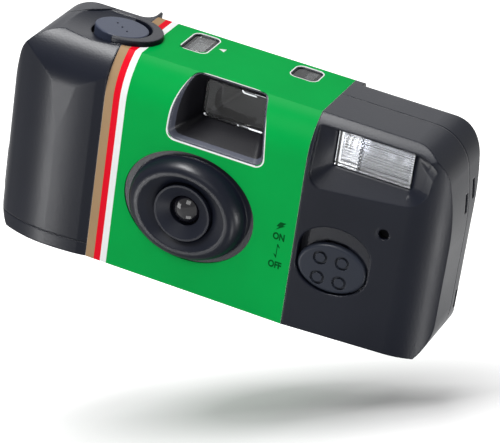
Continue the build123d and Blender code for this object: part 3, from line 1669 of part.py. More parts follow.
with BuildPart() as flash_reflector:
    add(reflector_form(0))
    add(reflector_form(reflector_wall), mode=Mode.SUBTRACT)
    add(
        rod(across(flash_x - reach), [(tube_y, flash_z)], tube_radius + slip, 2 * reach),
        mode=Mode.SUBTRACT,
    )
flash_reflector.part.label = "flash_reflector"
export_step(flash_reflector.part, "parts/flash_reflector.step")

with BuildPart() as flash_tube:
    add(rod(across(flash_x - tube_half_length), [(tube_y, flash_z)], tube_radius, 2 * tube_half_length))
flash_tube.part.label = "flash_tube"
export_step(flash_tube.part, "parts/flash_tube.step")

# Flash board and what stands on it
board_back_y = -7.4
board_thickness = 1.0
board_left_x = 22.3
board_right_x = 48.0
board_bottom_z = 3.0
board_rise = 17.9
board_top_z = lens_z + board_rise
capacitor_x = 46.3
capacitor_y = 3.0
capacitor_radius = 4.6
capacitor_bottom_z = 8.0
capacitor_height = 28.0
capacitor_crimp = 0.4
transformer_left_x = 40.5
transformer_width = 8.0
transformer_depth = 5.0
transformer_bottom_z = 12.0
transformer_height = 8.5
core_wall = 1.2
trigger_x = 43.0
trigger_radius = 2.4
trigger_bottom_z = 24.0
trigger_height = 9.0
component_lead = 0.4
lead_low_z = transformer_bottom_z + transformer_height + 2 * overrun

with BuildPart() as flash_board:
    with BuildSketch(facing(board_back_y)):
        with Locations(((board_left_x + board_right_x) / 2, (board_bottom_z + board_top_z) / 2)):
            Rectangle(board_right_x - board_left_x, board_top_z - board_bottom_z)
        with Locations((sensor_x, sensor_z)):
            Circle(sensor_bore_share * sensor_radius, mode=Mode.SUBTRACT)
    extrude(amount=board_thickness)
    add(frame_block, mode=Mode.INTERSECT)
flash_board.part.label = "flash_board"
export_step(flash_board.part, "parts/flash_board.step")

with BuildPart() as flash_capacitor:
    capacitor = [(capacitor_x, capacitor_y)]
    add(rod(level(capacitor_bottom_z), capacitor, capacitor_radius, capacitor_height))
    crimp_z = capacitor_bottom_z + capacitor_radius / 2
    add(
        tube(level(crimp_z), capacitor, capacitor_radius + overrun, capacitor_radius - capacitor_crimp, overrun),
        mode=Mode.SUBTRACT,
    )
    for lead_z in (lead_low_z, capacitor_bottom_z + capacitor_height - capacitor_radius):
        lead_plane = facing(capacitor_y)
        lead_length = capacitor_y - board_back_y
        lead_x = capacitor_x + 2 * component_lead
        add(rod(lead_plane, [(lead_x, lead_z)], component_lead, lead_length))
flash_capacitor.part.label = "flash_capacitor"
export_step(flash_capacitor.part, "parts/flash_capacitor.step")

with BuildPart() as flash_transformer:
    transformer_right_x = transformer_left_x + transformer_width
    transformer_rear_y = board_back_y + transformer_depth
    transformer_top_z = transformer_bottom_z + transformer_height
    for side_x in (transformer_left_x, transformer_right_x - core_wall):
        add(
            brick(
                side_x, side_x + core_wall, board_back_y, transformer_rear_y,
                transformer_bottom_z, transformer_top_z,
            )
        )
    coil_y = (board_back_y + transformer_rear_y) / 2
    coil_z = (transformer_bottom_z + transformer_top_z) / 2
    coil_radius = transformer_depth / 2
    add(
        rod(across(transformer_left_x + core_wall / 2), [(coil_y, coil_z)], coil_radius, transformer_width - core_wall)
    )
    for edge_z in (transformer_bottom_z, transformer_top_z - core_wall):
        add(
            brick(
                transformer_left_x, transformer_right_x, board_back_y, transformer_rear_y,
                edge_z, edge_z + core_wall,
            )
        )
flash_transformer.part.label = "flash_transformer"
export_step(flash_transformer.part, "parts/flash_transformer.step")

with BuildPart() as trigger_coil:
    trigger_y = board_back_y + trigger_radius
    add(rod(level(trigger_bottom_z), [(trigger_x, trigger_y)], trigger_radius, trigger_height))
    add(
        brick(
            trigger_x - trigger_radius, trigger_x + trigger_radius, board_back_y, trigger_y,
            trigger_bottom_z, trigger_bottom_z + overrun,
        )
    )
trigger_coil.part.label = "trigger_coil"
export_step(trigger_coil.part, "parts/trigger_coil.step")

# Battery and its two contact springs
battery_radius = 5.25
battery_length = 44.5
battery_left_x = -23.6
battery_y = -5.7
battery_z = 7.4
battery_nub_radius = 1.9
battery_nub_length = 0.8
battery_edge = 0.4
contact_thickness = 0.4
contact_tab_width = 5.0
battery_right_x = battery_left_x + battery_length

with BuildPart() as battery:
    axis_place = [(battery_y, battery_z)]
    body_length = battery_length - battery_nub_length
    add(rod(across(battery_left_x), axis_place, battery_radius, body_length))
    chamfer(battery.faces().sort_by(Axis.X)[0].edges(), length=battery_edge)
    chamfer(battery.faces().sort_by(Axis.X)[-1].edges(), length=battery_edge)
    add(rod(across(battery_left_x + body_length), axis_place, battery_nub_radius, battery_nub_length))
battery.part.label = "battery"
export_step(battery.part, "parts/battery.step")

with BuildPart() as battery_contact_positive:
    add(
        brick(
            battery_right_x, battery_right_x + contact_thickness, battery_y - contact_tab_width / 2,
            battery_y + contact_tab_width / 2, board_bottom_z, battery_z + contact_tab_width,
        )
    )
    add(
        brick(
            battery_right_x, board_left_x + contact_tab_width, board_back_y, board_back_y + contact_thickness,
            battery_z, battery_z + contact_tab_width,
        )
    )
battery_contact_positive.part.label = "battery_contact_positive"
export_step(battery_contact_positive.part, "parts/battery_contact_positive.step")

strip_width = 3.0

with BuildPart() as battery_contact_negative:
    contact_left_x = battery_left_x - contact_thickness
    strip_front_y = battery_y - strip_width / 2
    strip_rear_y = battery_y + strip_width / 2
    strip_top_z = frame_bottom_z + contact_thickness
    add(
        brick(
            contact_left_x, battery_left_x, strip_front_y, strip_rear_y,
            frame_bottom_z, battery_z + contact_tab_width,
        )
    )
    strip_end_x = board_left_x + overrun
    add(brick(contact_left_x, strip_end_x, strip_front_y, strip_rear_y, frame_bottom_z, strip_top_z))
    add(
        brick(
            board_left_x, strip_end_x, board_back_y, board_back_y + contact_thickness,
            frame_bottom_z, board_bottom_z + 2 * overrun,
        )
    )
battery_contact_negative.part.label = "battery_contact_negative"
export_step(battery_contact_negative.part, "parts/battery_contact_negative.step")

# Flash switch: oval slider with four studs in ring grooves, a stem and a flange behind
knob_sink = 0.15
knob_back_y = switch_floor_y - slip
stud_radius = 1.1
stud_half_pitch_x = 2.55
stud_half_pitch_z = 2.5
stud_groove = 0.6
stud_groove_depth = 0.5
knob_edge_radius = 0.8
switch_flange_height = 5.4
switch_flange_thickness = 0.7
floor_back_y = switch_floor_y + switch_floor
slope_rise = slope_end_y - front_y
slope_run = slope_end_x - wrap_right_x
slope_plane = Plane(
    origin=(wrap_right_x, front_y, 0), x_dir=(slope_run, slope_rise, 0), z_dir=(slope_rise, -slope_run, 0)
)
slope_stretch = math.hypot(slope_run, slope_rise) / slope_run
knob_along = (switch_x - wrap_right_x) * slope_stretch

with BuildPart() as flash_switch:
    with BuildSketch(facing(knob_back_y)):
        with Locations((switch_x, switch_off_z)):
            Ellipse(switch_half_width, switch_half_height)
    extrude(amount=knob_back_y - front_y)
    with BuildSketch(slope_plane.offset(-knob_sink)):
        Rectangle(reach, reach)
    extrude(amount=reach, mode=Mode.SUBTRACT)
    fillet(flash_switch.faces().sort_by(Axis.Y)[0].edges(), radius=knob_edge_radius)
    with BuildSketch(slope_plane.offset(-knob_sink - stud_groove_depth)):
        with Locations((knob_along - stud_half_pitch_x / 8, switch_off_z - stud_half_pitch_z / 8)):
            with GridLocations(2 * stud_half_pitch_x, 2 * stud_half_pitch_z, 2, 2):
                Circle(stud_radius + stud_groove)
                Circle(stud_radius, mode=Mode.SUBTRACT)
    extrude(amount=2 * stud_groove_depth, mode=Mode.SUBTRACT)
    with BuildSketch(facing(floor_back_y + slip + switch_flange_thickness)):
        with Locations((switch_x, switch_off_z)):
            Rectangle(stem_width, stem_height)
    extrude(amount=floor_back_y + slip + switch_flange_thickness - knob_back_y)
    with BuildSketch(facing(floor_back_y + slip + switch_flange_thickness)):
        with Locations((switch_x, switch_off_z)):
            Rectangle(stem_width + 2 * overrun, switch_flange_height)
    extrude(amount=switch_flange_thickness)
flash_switch.part.label = "flash_switch"
export_step(flash_switch.part, "parts/flash_switch.step")
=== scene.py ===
import bpy
import json
import math
from mathutils import Matrix, Vector


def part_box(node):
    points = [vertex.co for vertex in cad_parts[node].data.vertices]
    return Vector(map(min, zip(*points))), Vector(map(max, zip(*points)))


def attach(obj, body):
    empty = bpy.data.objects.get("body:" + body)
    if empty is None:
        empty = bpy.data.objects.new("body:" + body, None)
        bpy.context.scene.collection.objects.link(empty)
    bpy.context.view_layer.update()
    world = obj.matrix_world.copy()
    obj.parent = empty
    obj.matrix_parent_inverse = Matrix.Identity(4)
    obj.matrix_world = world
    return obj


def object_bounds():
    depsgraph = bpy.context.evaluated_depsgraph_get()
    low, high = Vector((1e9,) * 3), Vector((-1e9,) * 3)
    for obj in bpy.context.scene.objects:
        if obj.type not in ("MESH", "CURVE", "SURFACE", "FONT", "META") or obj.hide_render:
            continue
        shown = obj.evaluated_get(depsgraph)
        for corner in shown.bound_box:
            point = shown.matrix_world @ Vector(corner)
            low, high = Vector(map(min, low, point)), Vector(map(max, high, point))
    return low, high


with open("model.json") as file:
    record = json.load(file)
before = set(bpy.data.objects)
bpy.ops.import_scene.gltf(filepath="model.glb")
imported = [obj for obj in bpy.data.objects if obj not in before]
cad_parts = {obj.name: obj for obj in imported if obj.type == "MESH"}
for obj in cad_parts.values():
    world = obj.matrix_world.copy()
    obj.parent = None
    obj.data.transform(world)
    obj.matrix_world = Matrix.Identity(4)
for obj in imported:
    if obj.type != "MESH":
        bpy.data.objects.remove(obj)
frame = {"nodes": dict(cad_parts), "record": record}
cad_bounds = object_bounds()
nodes = frame["nodes"]
subparts = frame["record"]["subparts"]

MM = 0.001

# Camera, found by matching the body's edges
azimuth = math.radians(20.313)
elevation = math.radians(28.735)
roll = math.radians(8.606)
camera_place = Vector((208.287, -549.476, 336.362)) * MM
photo_width_px = 500
focal_px = 2945.85
sensor_mm = 36.0

backward = Vector((
    math.sin(azimuth) * math.cos(elevation),
    -math.cos(azimuth) * math.cos(elevation),
    math.sin(elevation),
))
level_right = Vector((math.cos(azimuth), math.sin(azimuth), 0))
level_up = backward.cross(level_right)
camera_right = math.cos(roll) * level_right + math.sin(roll) * level_up
camera_up = math.cos(roll) * level_up - math.sin(roll) * level_right

camera_data = bpy.data.cameras.new("camera")
camera_data.lens = focal_px / photo_width_px * sensor_mm
camera_data.sensor_width = sensor_mm
camera_data.clip_start = 10 * MM
camera = bpy.data.objects.new("camera", camera_data)
bpy.context.scene.collection.objects.link(camera)
turn = Matrix((camera_right, camera_up, backward)).transposed().to_4x4()
camera.matrix_world = Matrix.Translation(camera_place) @ turn
bpy.context.scene.camera = camera
bpy.context.scene.view_settings.view_transform = "Standard"

# Places that the finishes and the small pieces need, in metres, from the frame
wrap_low, wrap_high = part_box("label_wrap")
button_low, button_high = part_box("shutter_button")
dial_low, dial_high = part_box("counter_dial")
ring_low, ring_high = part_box("lens_retainer")
taking_low, taking_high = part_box("taking_lens")
counter_low, counter_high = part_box("counter_window")
lamp_low, lamp_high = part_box("ready_light_pipe")
can_low, can_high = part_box("film_cartridge")
board_low, board_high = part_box("flash_board")
panel_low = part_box("flash_window")[0]
battery_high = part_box("battery")[1]
capacitor_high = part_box("flash_capacitor")[1]


def middle(low, high, axis):
    """Middle of a box along one axis."""
    return (low[axis] + high[axis]) / 2


# Colours


def paint(red, green, blue):
    """Linear colour from everyday 0 to 255 values."""
    shares = [value / 255 for value in (red, green, blue)]
    linear = [s / 12.92 if s <= 0.04045 else ((s + 0.055) / 1.055) ** 2.4 for s in shares]
    return (*linear, 1.0)


def scaled(colour, share):
    """The same colour, darker or lighter."""
    return tuple(share * value for value in colour[:3]) + (1.0,)


black_plastic = paint(8, 10, 17)
black_worn = paint(44, 46, 54)
# Painted sheen for the rim of the viewfinder's funnel
funnel_rim_painted_sheen = paint(42, 44, 52)
funnel_wall = paint(10, 10, 13)
button_plastic = paint(30, 34, 45)
button_worn = paint(64, 66, 76)
knob_plastic = paint(20, 23, 30)
knob_worn = paint(54, 56, 62)
wheel_plastic = paint(30, 31, 35)
wheel_worn = paint(66, 68, 72)
dull_black = paint(16, 16, 19)
frame_worn = paint(44, 44, 46)
spool_worn = paint(50, 50, 52)
natural_white = paint(222, 218, 204)
natural_worn = paint(238, 236, 228)
dial_white = paint(236, 235, 228)
dial_worn = paint(250, 250, 248)
dial_black = paint(28, 28, 30)
print_green = paint(0, 164, 72)
print_red = paint(232, 16, 40)
print_tan = paint(170, 140, 106)
paper_white = paint(244, 246, 246)
ink_green = paint(0, 84, 34)
film_brown = paint(82, 52, 44)
steel_grey = paint(176, 178, 180)
tin_lacquer = paint(34, 36, 40)
board_brown = paint(150, 112, 62)
foil_shade = paint(214, 216, 220)
foil_bright = paint(250, 250, 252)
panel_clear = paint(250, 251, 252)
# Painted shade for the grooves of the flash panel's ribs
panel_groove_shade = paint(110, 112, 118)
panel_seam = paint(40, 42, 48)
# Painted shade for the bevelled border of the clear windows
window_border_shade = paint(52, 54, 60)
# Painted shade: the lens glass is coloured dark
lens_painted_shade = paint(14, 15, 20)
lens_bloom = paint(20, 18, 26)


# Node helpers


def calc(tree, operation, *values, clamp=False):
    """A Math node on sockets or numbers; gives its output socket."""
    node = tree.nodes.new("ShaderNodeMath")
    node.operation = operation
    node.use_clamp = clamp
    for slot, value in enumerate(values):
        if isinstance(value, bpy.types.NodeSocket):
            tree.links.new(value, node.inputs[slot])
        else:
            node.inputs[slot].default_value = value
    return node.outputs[0]


def highest(tree, *values):
    """The largest of several masks."""
    result = values[0]
    for value in values[1:]:
        result = calc(tree, "MAXIMUM", result, value)
    return result


def blend_colours(tree, factor, first, second):
    """Mixes two colours, each a socket or a constant, by a mask."""
    node = tree.nodes.new("ShaderNodeMix")
    node.data_type = "RGBA"
    tree.links.new(factor, node.inputs["Factor"])
    for slot, value in ((6, first), (7, second)):
        if isinstance(value, bpy.types.NodeSocket):
            tree.links.new(value, node.inputs[slot])
        else:
            node.inputs[slot].default_value = value
    return node.outputs[2]


def object_place(tree):
    """Object coordinates, as a vector and split in three."""
    place = tree.nodes.new("ShaderNodeTexCoord").outputs["Object"]
    split = tree.nodes.new("ShaderNodeSeparateXYZ")
    tree.links.new(place, split.inputs[0])
    return place, split.outputs[0], split.outputs[1], split.outputs[2]


def stretched(tree, place, scale):
    """A place stretched along the axes, for marks that run one way."""
    node = tree.nodes.new("ShaderNodeMapping")
    node.inputs["Scale"].default_value = scale
    tree.links.new(place, node.inputs["Vector"])
    return node.outputs[0]


def noise(tree, place, scale, detail=2.0):
    """Noise value over a place; scale is in repeats a metre."""
    node = tree.nodes.new("ShaderNodeTexNoise")
    tree.links.new(place, node.inputs["Vector"])
    node.inputs["Scale"].default_value = scale
    node.inputs["Detail"].default_value = detail
    return node.outputs[0]


def spread(tree, value, low, high, to_low=0.0, to_high=1.0):
    """Maps a value from one range to another and keeps it inside."""
    node = tree.nodes.new("ShaderNodeMapRange")
    tree.links.new(value, node.inputs["Value"])
    node.inputs["From Min"].default_value = low
    node.inputs["From Max"].default_value = high
    node.inputs["To Min"].default_value = to_low
    node.inputs["To Max"].default_value = to_high
    return node.outputs[0]


def new_group(name, inputs, outputs):
    """Empty shader group with named sockets."""
    group = bpy.data.node_groups.new(name, "ShaderNodeTree")
    for title, value in inputs:
        socket = group.interface.new_socket(
            title, in_out="INPUT", socket_type="NodeSocketFloat"
        )
        socket.default_value = value
    for title, kind in outputs:
        group.interface.new_socket(title, in_out="OUTPUT", socket_type=kind)
    return group, group.nodes.new("NodeGroupInput"), group.nodes.new("NodeGroupOutput")


def use_group(tree, group, **values):
    """Places a group in a material and sets its inputs; gives the node."""
    node = tree.nodes.new("ShaderNodeGroup")
    node.node_tree = group
    for name, value in values.items():
        socket = node.inputs[name]
        if isinstance(value, bpy.types.NodeSocket):
            tree.links.new(value, socket)
        else:
            socket.default_value = value
    return node


# Shared effects


def make_moulded_grain():
    """Fine spark-eroded grain of moulded plastic, with faint broad mottling."""
    mottle_scale = 45.0
    group, inlet, outlet = new_group(
        "moulded_grain",
        [("Repeats", 2600.0), ("Dullness", 0.45), ("Variation", 0.12)],
        [
            ("Height", "NodeSocketFloat"),
            ("Roughness", "NodeSocketFloat"),
            ("Mottle", "NodeSocketFloat"),
        ],
    )
    place = object_place(group)[0]
    grain = group.nodes.new("ShaderNodeTexNoise")
    group.links.new(place, grain.inputs["Vector"])
    group.links.new(inlet.outputs["Repeats"], grain.inputs["Scale"])
    grain.inputs["Detail"].default_value = 2.0
    broad = noise(group, place, mottle_scale, 3.0)
    off_middle = calc(group, "SUBTRACT", broad, 0.5)
    swing = calc(group, "MULTIPLY", off_middle, inlet.outputs["Variation"])
    roughness = calc(group, "ADD", inlet.outputs["Dullness"], swing)
    group.links.new(grain.outputs[0], outlet.inputs["Height"])
    group.links.new(roughness, outlet.inputs["Roughness"])
    group.links.new(spread(group, broad, 0.3, 0.7), outlet.inputs["Mottle"])
    return group


def make_worn_edges():
    """Small rounding of the edges in the shading, and a mask where handling rubs them."""
    flat_cosine, sharp_cosine = 0.99, 0.85
    patch_scale = 160.0
    group, inlet, outlet = new_group(
        "worn_edges",
        [("Wear", 0.5), ("Radius", 0.18 * MM)],
        [("Mask", "NodeSocketFloat"), ("Normal", "NodeSocketVector")],
    )
    round_edge = group.nodes.new("ShaderNodeBevel")
    round_edge.samples = 6
    group.links.new(inlet.outputs["Radius"], round_edge.inputs["Radius"])
    surface = group.nodes.new("ShaderNodeNewGeometry")
    turned = group.nodes.new("ShaderNodeVectorMath")
    turned.operation = "DOT_PRODUCT"
    group.links.new(round_edge.outputs[0], turned.inputs[0])
    group.links.new(surface.outputs["Normal"], turned.inputs[1])
    bend = spread(group, turned.outputs["Value"], flat_cosine, sharp_cosine)
    blotches = noise(group, object_place(group)[0], patch_scale, 3.0)
    rubbed = calc(group, "MULTIPLY", bend, spread(group, blotches, 0.4, 0.7))
    rubbed = calc(group, "MULTIPLY", rubbed, inlet.outputs["Wear"], clamp=True)
    group.links.new(rubbed, outlet.inputs["Mask"])
    group.links.new(round_edge.outputs[0], outlet.inputs["Normal"])
    return group


def make_outline_ring():
    """Ring round an opening, from the distances past its sides; it has round corners."""
    group, inlet, outlet = new_group(
        "outline_ring",
        [
            ("Across", 0.0), ("Along", 0.0), ("Corner", 1.0 * MM),
            ("From", 0.0), ("To", 1.0 * MM),
        ],
        [("Mask", "NodeSocketFloat")],
    )
    corner = inlet.outputs["Corner"]
    across = calc(group, "ADD", inlet.outputs["Across"], corner)
    along = calc(group, "ADD", inlet.outputs["Along"], corner)
    inside = calc(group, "MINIMUM", calc(group, "MAXIMUM", across, along), 0.0)
    across_square = calc(group, "POWER", calc(group, "MAXIMUM", across, 0.0), 2.0)
    along_square = calc(group, "POWER", calc(group, "MAXIMUM", along, 0.0), 2.0)
    outside = calc(group, "SQRT", calc(group, "ADD", across_square, along_square))
    past = calc(group, "SUBTRACT", calc(group, "ADD", outside, inside), corner)
    beyond = calc(group, "GREATER_THAN", past, inlet.outputs["From"])
    within = calc(group, "LESS_THAN", past, inlet.outputs["To"])
    group.links.new(calc(group, "MULTIPLY", beyond, within), outlet.inputs["Mask"])
    return group


def make_turned_rings():
    """Fine rings left by turning, round an axis along Y through a place."""
    group, inlet, outlet = new_group(
        "turned_rings",
        [("Axis X", 0.0), ("Axis Z", 0.0), ("Repeats", 18000.0)],
        [("Height", "NodeSocketFloat")],
    )
    _, x, _, z = object_place(group)
    aside = calc(group, "SUBTRACT", x, inlet.outputs["Axis X"])
    above = calc(group, "SUBTRACT", z, inlet.outputs["Axis Z"])
    aside_square = calc(group, "POWER", aside, 2.0)
    above_square = calc(group, "POWER", above, 2.0)
    distance = calc(group, "SQRT", calc(group, "ADD", aside_square, above_square))
    ripple = calc(group, "SINE", calc(group, "MULTIPLY", distance, inlet.outputs["Repeats"]))
    group.links.new(calc(group, "MULTIPLY_ADD", ripple, 0.5, 0.5), outlet.inputs["Height"])
    return group


moulded_grain = make_moulded_grain()
worn_edges = make_worn_edges()
outline_ring = make_outline_ring()
turned_rings = make_turned_rings()


# Finishes


def new_material(name):
    """Empty material with one Principled shader."""
    material = bpy.data.materials.new(name)
    material.use_nodes = True
    tree = material.node_tree
    tree.nodes.clear()
    shader = tree.nodes.new("ShaderNodeBsdfPrincipled")
    output = tree.nodes.new("ShaderNodeOutputMaterial")
    tree.links.new(shader.outputs["BSDF"], output.inputs["Surface"])
    return material, tree, shader


def add_bump(tree, shader, height, strength, depth_mm, normal=None):
    """Bump from a height, on top of a normal where there is one."""
    bump = tree.nodes.new("ShaderNodeBump")
    bump.inputs["Strength"].default_value = strength
    bump.inputs["Distance"].default_value = depth_mm * MM
    tree.links.new(height, bump.inputs["Height"])
    if normal is not None:
        tree.links.new(normal, bump.inputs["Normal"])
    tree.links.new(bump.outputs["Normal"], shader.inputs["Normal"])


mottle_share = 0.82
grain_depth_mm = 0.05


def start_plastic(name, colour, dullness, repeats, wear, edge_mm):
    """Start of a moulded plastic: its roughness, mottled colour, grain and edges."""
    material, tree, shader = new_material(name)
    grain = use_group(tree, moulded_grain, Repeats=repeats, Dullness=dullness)
    edges = use_group(tree, worn_edges, Wear=wear, Radius=edge_mm * MM)
    deep = scaled(colour, mottle_share)
    body = blend_colours(tree, grain.outputs["Mottle"], deep, colour)
    tree.links.new(grain.outputs["Roughness"], shader.inputs["Roughness"])
    return material, tree, shader, body, grain, edges


def moulded_plastic(
    name, colour, worn_colour, dullness, repeats, grain_strength,
    gloss=0.16, wear=0.3, edge_mm=0.18,
):
    """Moulded plastic with grain, mottling and rubbed edges."""
    material, tree, shader, body, grain, edges = start_plastic(
        name, colour, dullness, repeats, wear, edge_mm
    )
    body = blend_colours(tree, edges.outputs["Mask"], body, worn_colour)
    tree.links.new(body, shader.inputs["Base Color"])
    shader.inputs["Specular IOR Level"].default_value = gloss
    add_bump(
        tree, shader, grain.outputs["Height"], grain_strength, grain_depth_mm,
        edges.outputs["Normal"],
    )
    return material


def printing_ink(name, colour, gloss):
    """Flat printing ink."""
    return moulded_plastic(
        name, colour, colour, dullness=0.4, repeats=2400.0, grain_strength=0.04,
        gloss=gloss, wear=0.0,
    )


def clear_plastic(name, tint, dullness, index=1.49):
    """Clear moulded plastic or glass, with faint flow marks."""
    material, tree, shader = new_material(name)
    flow = noise(tree, object_place(tree)[0], 220.0)
    roughness = spread(tree, flow, 0.3, 0.7, dullness, 2 * dullness)
    tree.links.new(roughness, shader.inputs["Roughness"])
    shader.inputs["Base Color"].default_value = tint
    shader.inputs["Transmission Weight"].default_value = 1.0
    shader.inputs["IOR"].default_value = index
    add_bump(tree, shader, flow, 0.1, 0.05)
    return material


def metal(name, colour, dullness, brushing):
    """Bare metal with fine rolling marks along one way and stains."""
    material, tree, shader = new_material(name)
    place = object_place(tree)[0]
    marks = noise(tree, stretched(tree, place, (1.0, 1.0, brushing)), 1500.0, 3.0)
    stains = spread(tree, noise(tree, place, 90.0, 3.0), 0.3, 0.6)
    edges = use_group(tree, worn_edges, Wear=0.4)
    body = blend_colours(tree, stains, scaled(colour, 0.7), colour)
    roughness = spread(tree, marks, 0.2, 0.8, 0.7 * dullness, 1.4 * dullness)
    tree.links.new(body, shader.inputs["Base Color"])
    tree.links.new(roughness, shader.inputs["Roughness"])
    shader.inputs["Metallic"].default_value = 1.0
    add_bump(tree, shader, marks, 0.15, 0.02, edges.outputs["Normal"])
    return material


# Viewfinder's funnel, which tapers inwards and whose sides lean: where a side starts,
# its lean for each metre of height and its taper over the funnel's depth
funnel_front_y = -13.35 * MM
funnel_depth = 8.75 * MM
funnel_foot_z = 36.4 * MM
funnel_foot_rise = 3.6 * MM
funnel_peak_z = 56.0 * MM
funnel_peak_fall = 7.0 * MM
funnel_height = funnel_peak_z - funnel_foot_z
funnel_left = (-13.0 * MM, 0.8 * MM / funnel_height, 4.7 * MM)
funnel_right = (10.6 * MM, -1.8 * MM / funnel_height, -4.0 * MM)
funnel_corner = 1.9 * MM

# Windows on the top
counter_half = (2.8 * MM, 4.3 * MM)
lamp_half = (2.9 * MM, 2.6 * MM)
window_corner = 1.2 * MM

# Printed wrap: stripes at the grip, a white line round three openings, white cut edges
stripe_edges_mm = (2.1, 3.7, 5.25)
line_from = 0.3 * MM
line_to = 0.6 * MM
cut_edge = 0.02 * MM
top_band = 2.0 * MM


def funnel_sides(tree, x, y, z):
    """Distances past the sides of the viewfinder's funnel, across and along it."""
    depth = calc(tree, "DIVIDE", calc(tree, "SUBTRACT", y, funnel_front_y), funnel_depth)
    height = calc(tree, "SUBTRACT", z, funnel_foot_z)
    sides = []
    for (start, lean, taper), sign in ((funnel_left, -1), (funnel_right, 1)):
        edge = calc(tree, "MULTIPLY_ADD", height, lean, start)
        edge = calc(tree, "MULTIPLY_ADD", depth, taper, edge)
        sides.append(calc(tree, "MULTIPLY", calc(tree, "SUBTRACT", x, edge), sign))
    foot_rise = calc(tree, "MULTIPLY", depth, funnel_foot_rise)
    foot = calc(tree, "SUBTRACT", foot_rise, height)
    peak_drop = calc(tree, "MULTIPLY_ADD", depth, funnel_peak_fall, -funnel_height)
    peak = calc(tree, "ADD", height, peak_drop)
    return highest(tree, *sides), highest(tree, foot, peak)


def window_sides(tree, x, y, low, high, half):
    """Distances past the sides of a window on the top, across and along it."""
    aside = calc(tree, "ABSOLUTE", calc(tree, "SUBTRACT", x, middle(low, high, 0)))
    behind = calc(tree, "ABSOLUTE", calc(tree, "SUBTRACT", y, middle(low, high, 1)))
    return calc(tree, "SUBTRACT", aside, half[0]), calc(tree, "SUBTRACT", behind, half[1])


def make_wrap_paper():
    """Coated paper with its print."""
    material, tree, shader = new_material("wrap_print")
    place, x, y, z = object_place(tree)
    colour = print_tan
    for edge_mm, ink in zip(stripe_edges_mm, (print_red, paper_white, print_green)):
        past = calc(tree, "GREATER_THAN", x, wrap_low[0] + edge_mm * MM)
        colour = blend_colours(tree, past, colour, ink)

    across, along = funnel_sides(tree, x, y, z)
    funnel_ring = use_group(
        tree, outline_ring, Across=across, Along=along, Corner=funnel_corner,
        From=line_from, To=line_to,
    )
    white = [funnel_ring.outputs["Mask"]]
    on_top = calc(tree, "GREATER_THAN", z, wrap_high[2] - top_band)
    for low, high, half in (
        (counter_low, counter_high, counter_half), (lamp_low, lamp_high, lamp_half)
    ):
        across, along = window_sides(tree, x, y, low, high, half)
        ring = use_group(
            tree, outline_ring, Across=across, Along=along, Corner=window_corner,
            From=line_from, To=line_to,
        )
        white.append(calc(tree, "MULTIPLY", ring.outputs["Mask"], on_top))
    white.append(calc(tree, "LESS_THAN", x, wrap_low[0] + cut_edge))
    white.append(calc(tree, "GREATER_THAN", x, wrap_high[0] - cut_edge))
    colour = blend_colours(tree, highest(tree, *white), colour, paper_white)

    # Ink lies a little uneven, and handling has dulled it in patches
    patches = noise(tree, place, 70.0, 4.0)
    speckle = noise(tree, place, 3200.0, 1.0)
    shade = tree.nodes.new("ShaderNodeHueSaturation")
    tree.links.new(colour, shade.inputs["Color"])
    tree.links.new(spread(tree, patches, 0.3, 0.7, 0.94, 1.03), shade.inputs["Value"])
    tree.links.new(shade.outputs[0], shader.inputs["Base Color"])
    tree.links.new(spread(tree, patches, 0.3, 0.7, 0.36, 0.44), shader.inputs["Roughness"])
    shader.inputs["Specular IOR Level"].default_value = 0.0
    shader.inputs["Coat Weight"].default_value = 0.12
    shader.inputs["Coat Roughness"].default_value = 0.3
    edges = use_group(tree, worn_edges, Wear=0.3)
    add_bump(tree, shader, speckle, 0.06, 0.03, edges.outputs["Normal"])
    return material


def make_film():
    """Glossy film base with faint bands along it."""
    material, tree, shader = new_material("film_base")
    place = object_place(tree)[0]
    bands = noise(tree, stretched(tree, place, (0.1, 1.0, 6.0)), 400.0)
    body = blend_colours(tree, bands, film_brown, scaled(film_brown, 1.3))
    tree.links.new(body, shader.inputs["Base Color"])
    tree.links.new(spread(tree, bands, 0.3, 0.7, 0.18, 0.3), shader.inputs["Roughness"])
    add_bump(tree, shader, bands, 0.2, 0.02)
    return material


# Flash: its panel is plain at the left and ribbed from here on
ribs_from_x = panel_low[0] + 6.0 * MM
ribs_from_z = panel_low[2] + 3.4 * MM
ribs_fade = 1.0 * MM
rib_pitch = 0.56 * MM
seam_swing = 0.5 * MM
seam_half_width = 0.2 * MM


def make_reflector():
    """Bright pressed foil with uneven facets, smoother behind the ribs."""
    material, tree, shader = new_material("bright_foil")
    place, x, _, _ = object_place(tree)
    drawn = stretched(tree, place, (1.0, 1.0, 0.35))
    facets = tree.nodes.new("ShaderNodeTexVoronoi")
    facets.inputs["Scale"].default_value = 650.0
    tree.links.new(drawn, facets.inputs["Vector"])
    creases = noise(tree, drawn, 900.0, 3.0)
    plain = spread(tree, x, ribs_from_x, ribs_from_x + ribs_fade)
    rough_part = calc(tree, "SUBTRACT", 1.0, calc(tree, "MULTIPLY", plain, 0.9))
    crumple = calc(tree, "ADD", facets.outputs["Distance"], creases)
    body = blend_colours(tree, creases, foil_shade, foil_bright)
    sheen = spread(tree, creases, 0.3, 0.7, 0.08, 0.24)
    tree.links.new(body, shader.inputs["Base Color"])
    tree.links.new(
        calc(tree, "MULTIPLY_ADD", plain, 0.35, sheen), shader.inputs["Roughness"]
    )
    shader.inputs["Metallic"].default_value = 0.85
    add_bump(tree, shader, calc(tree, "MULTIPLY", crumple, rough_part), 0.6, 0.35)
    return material


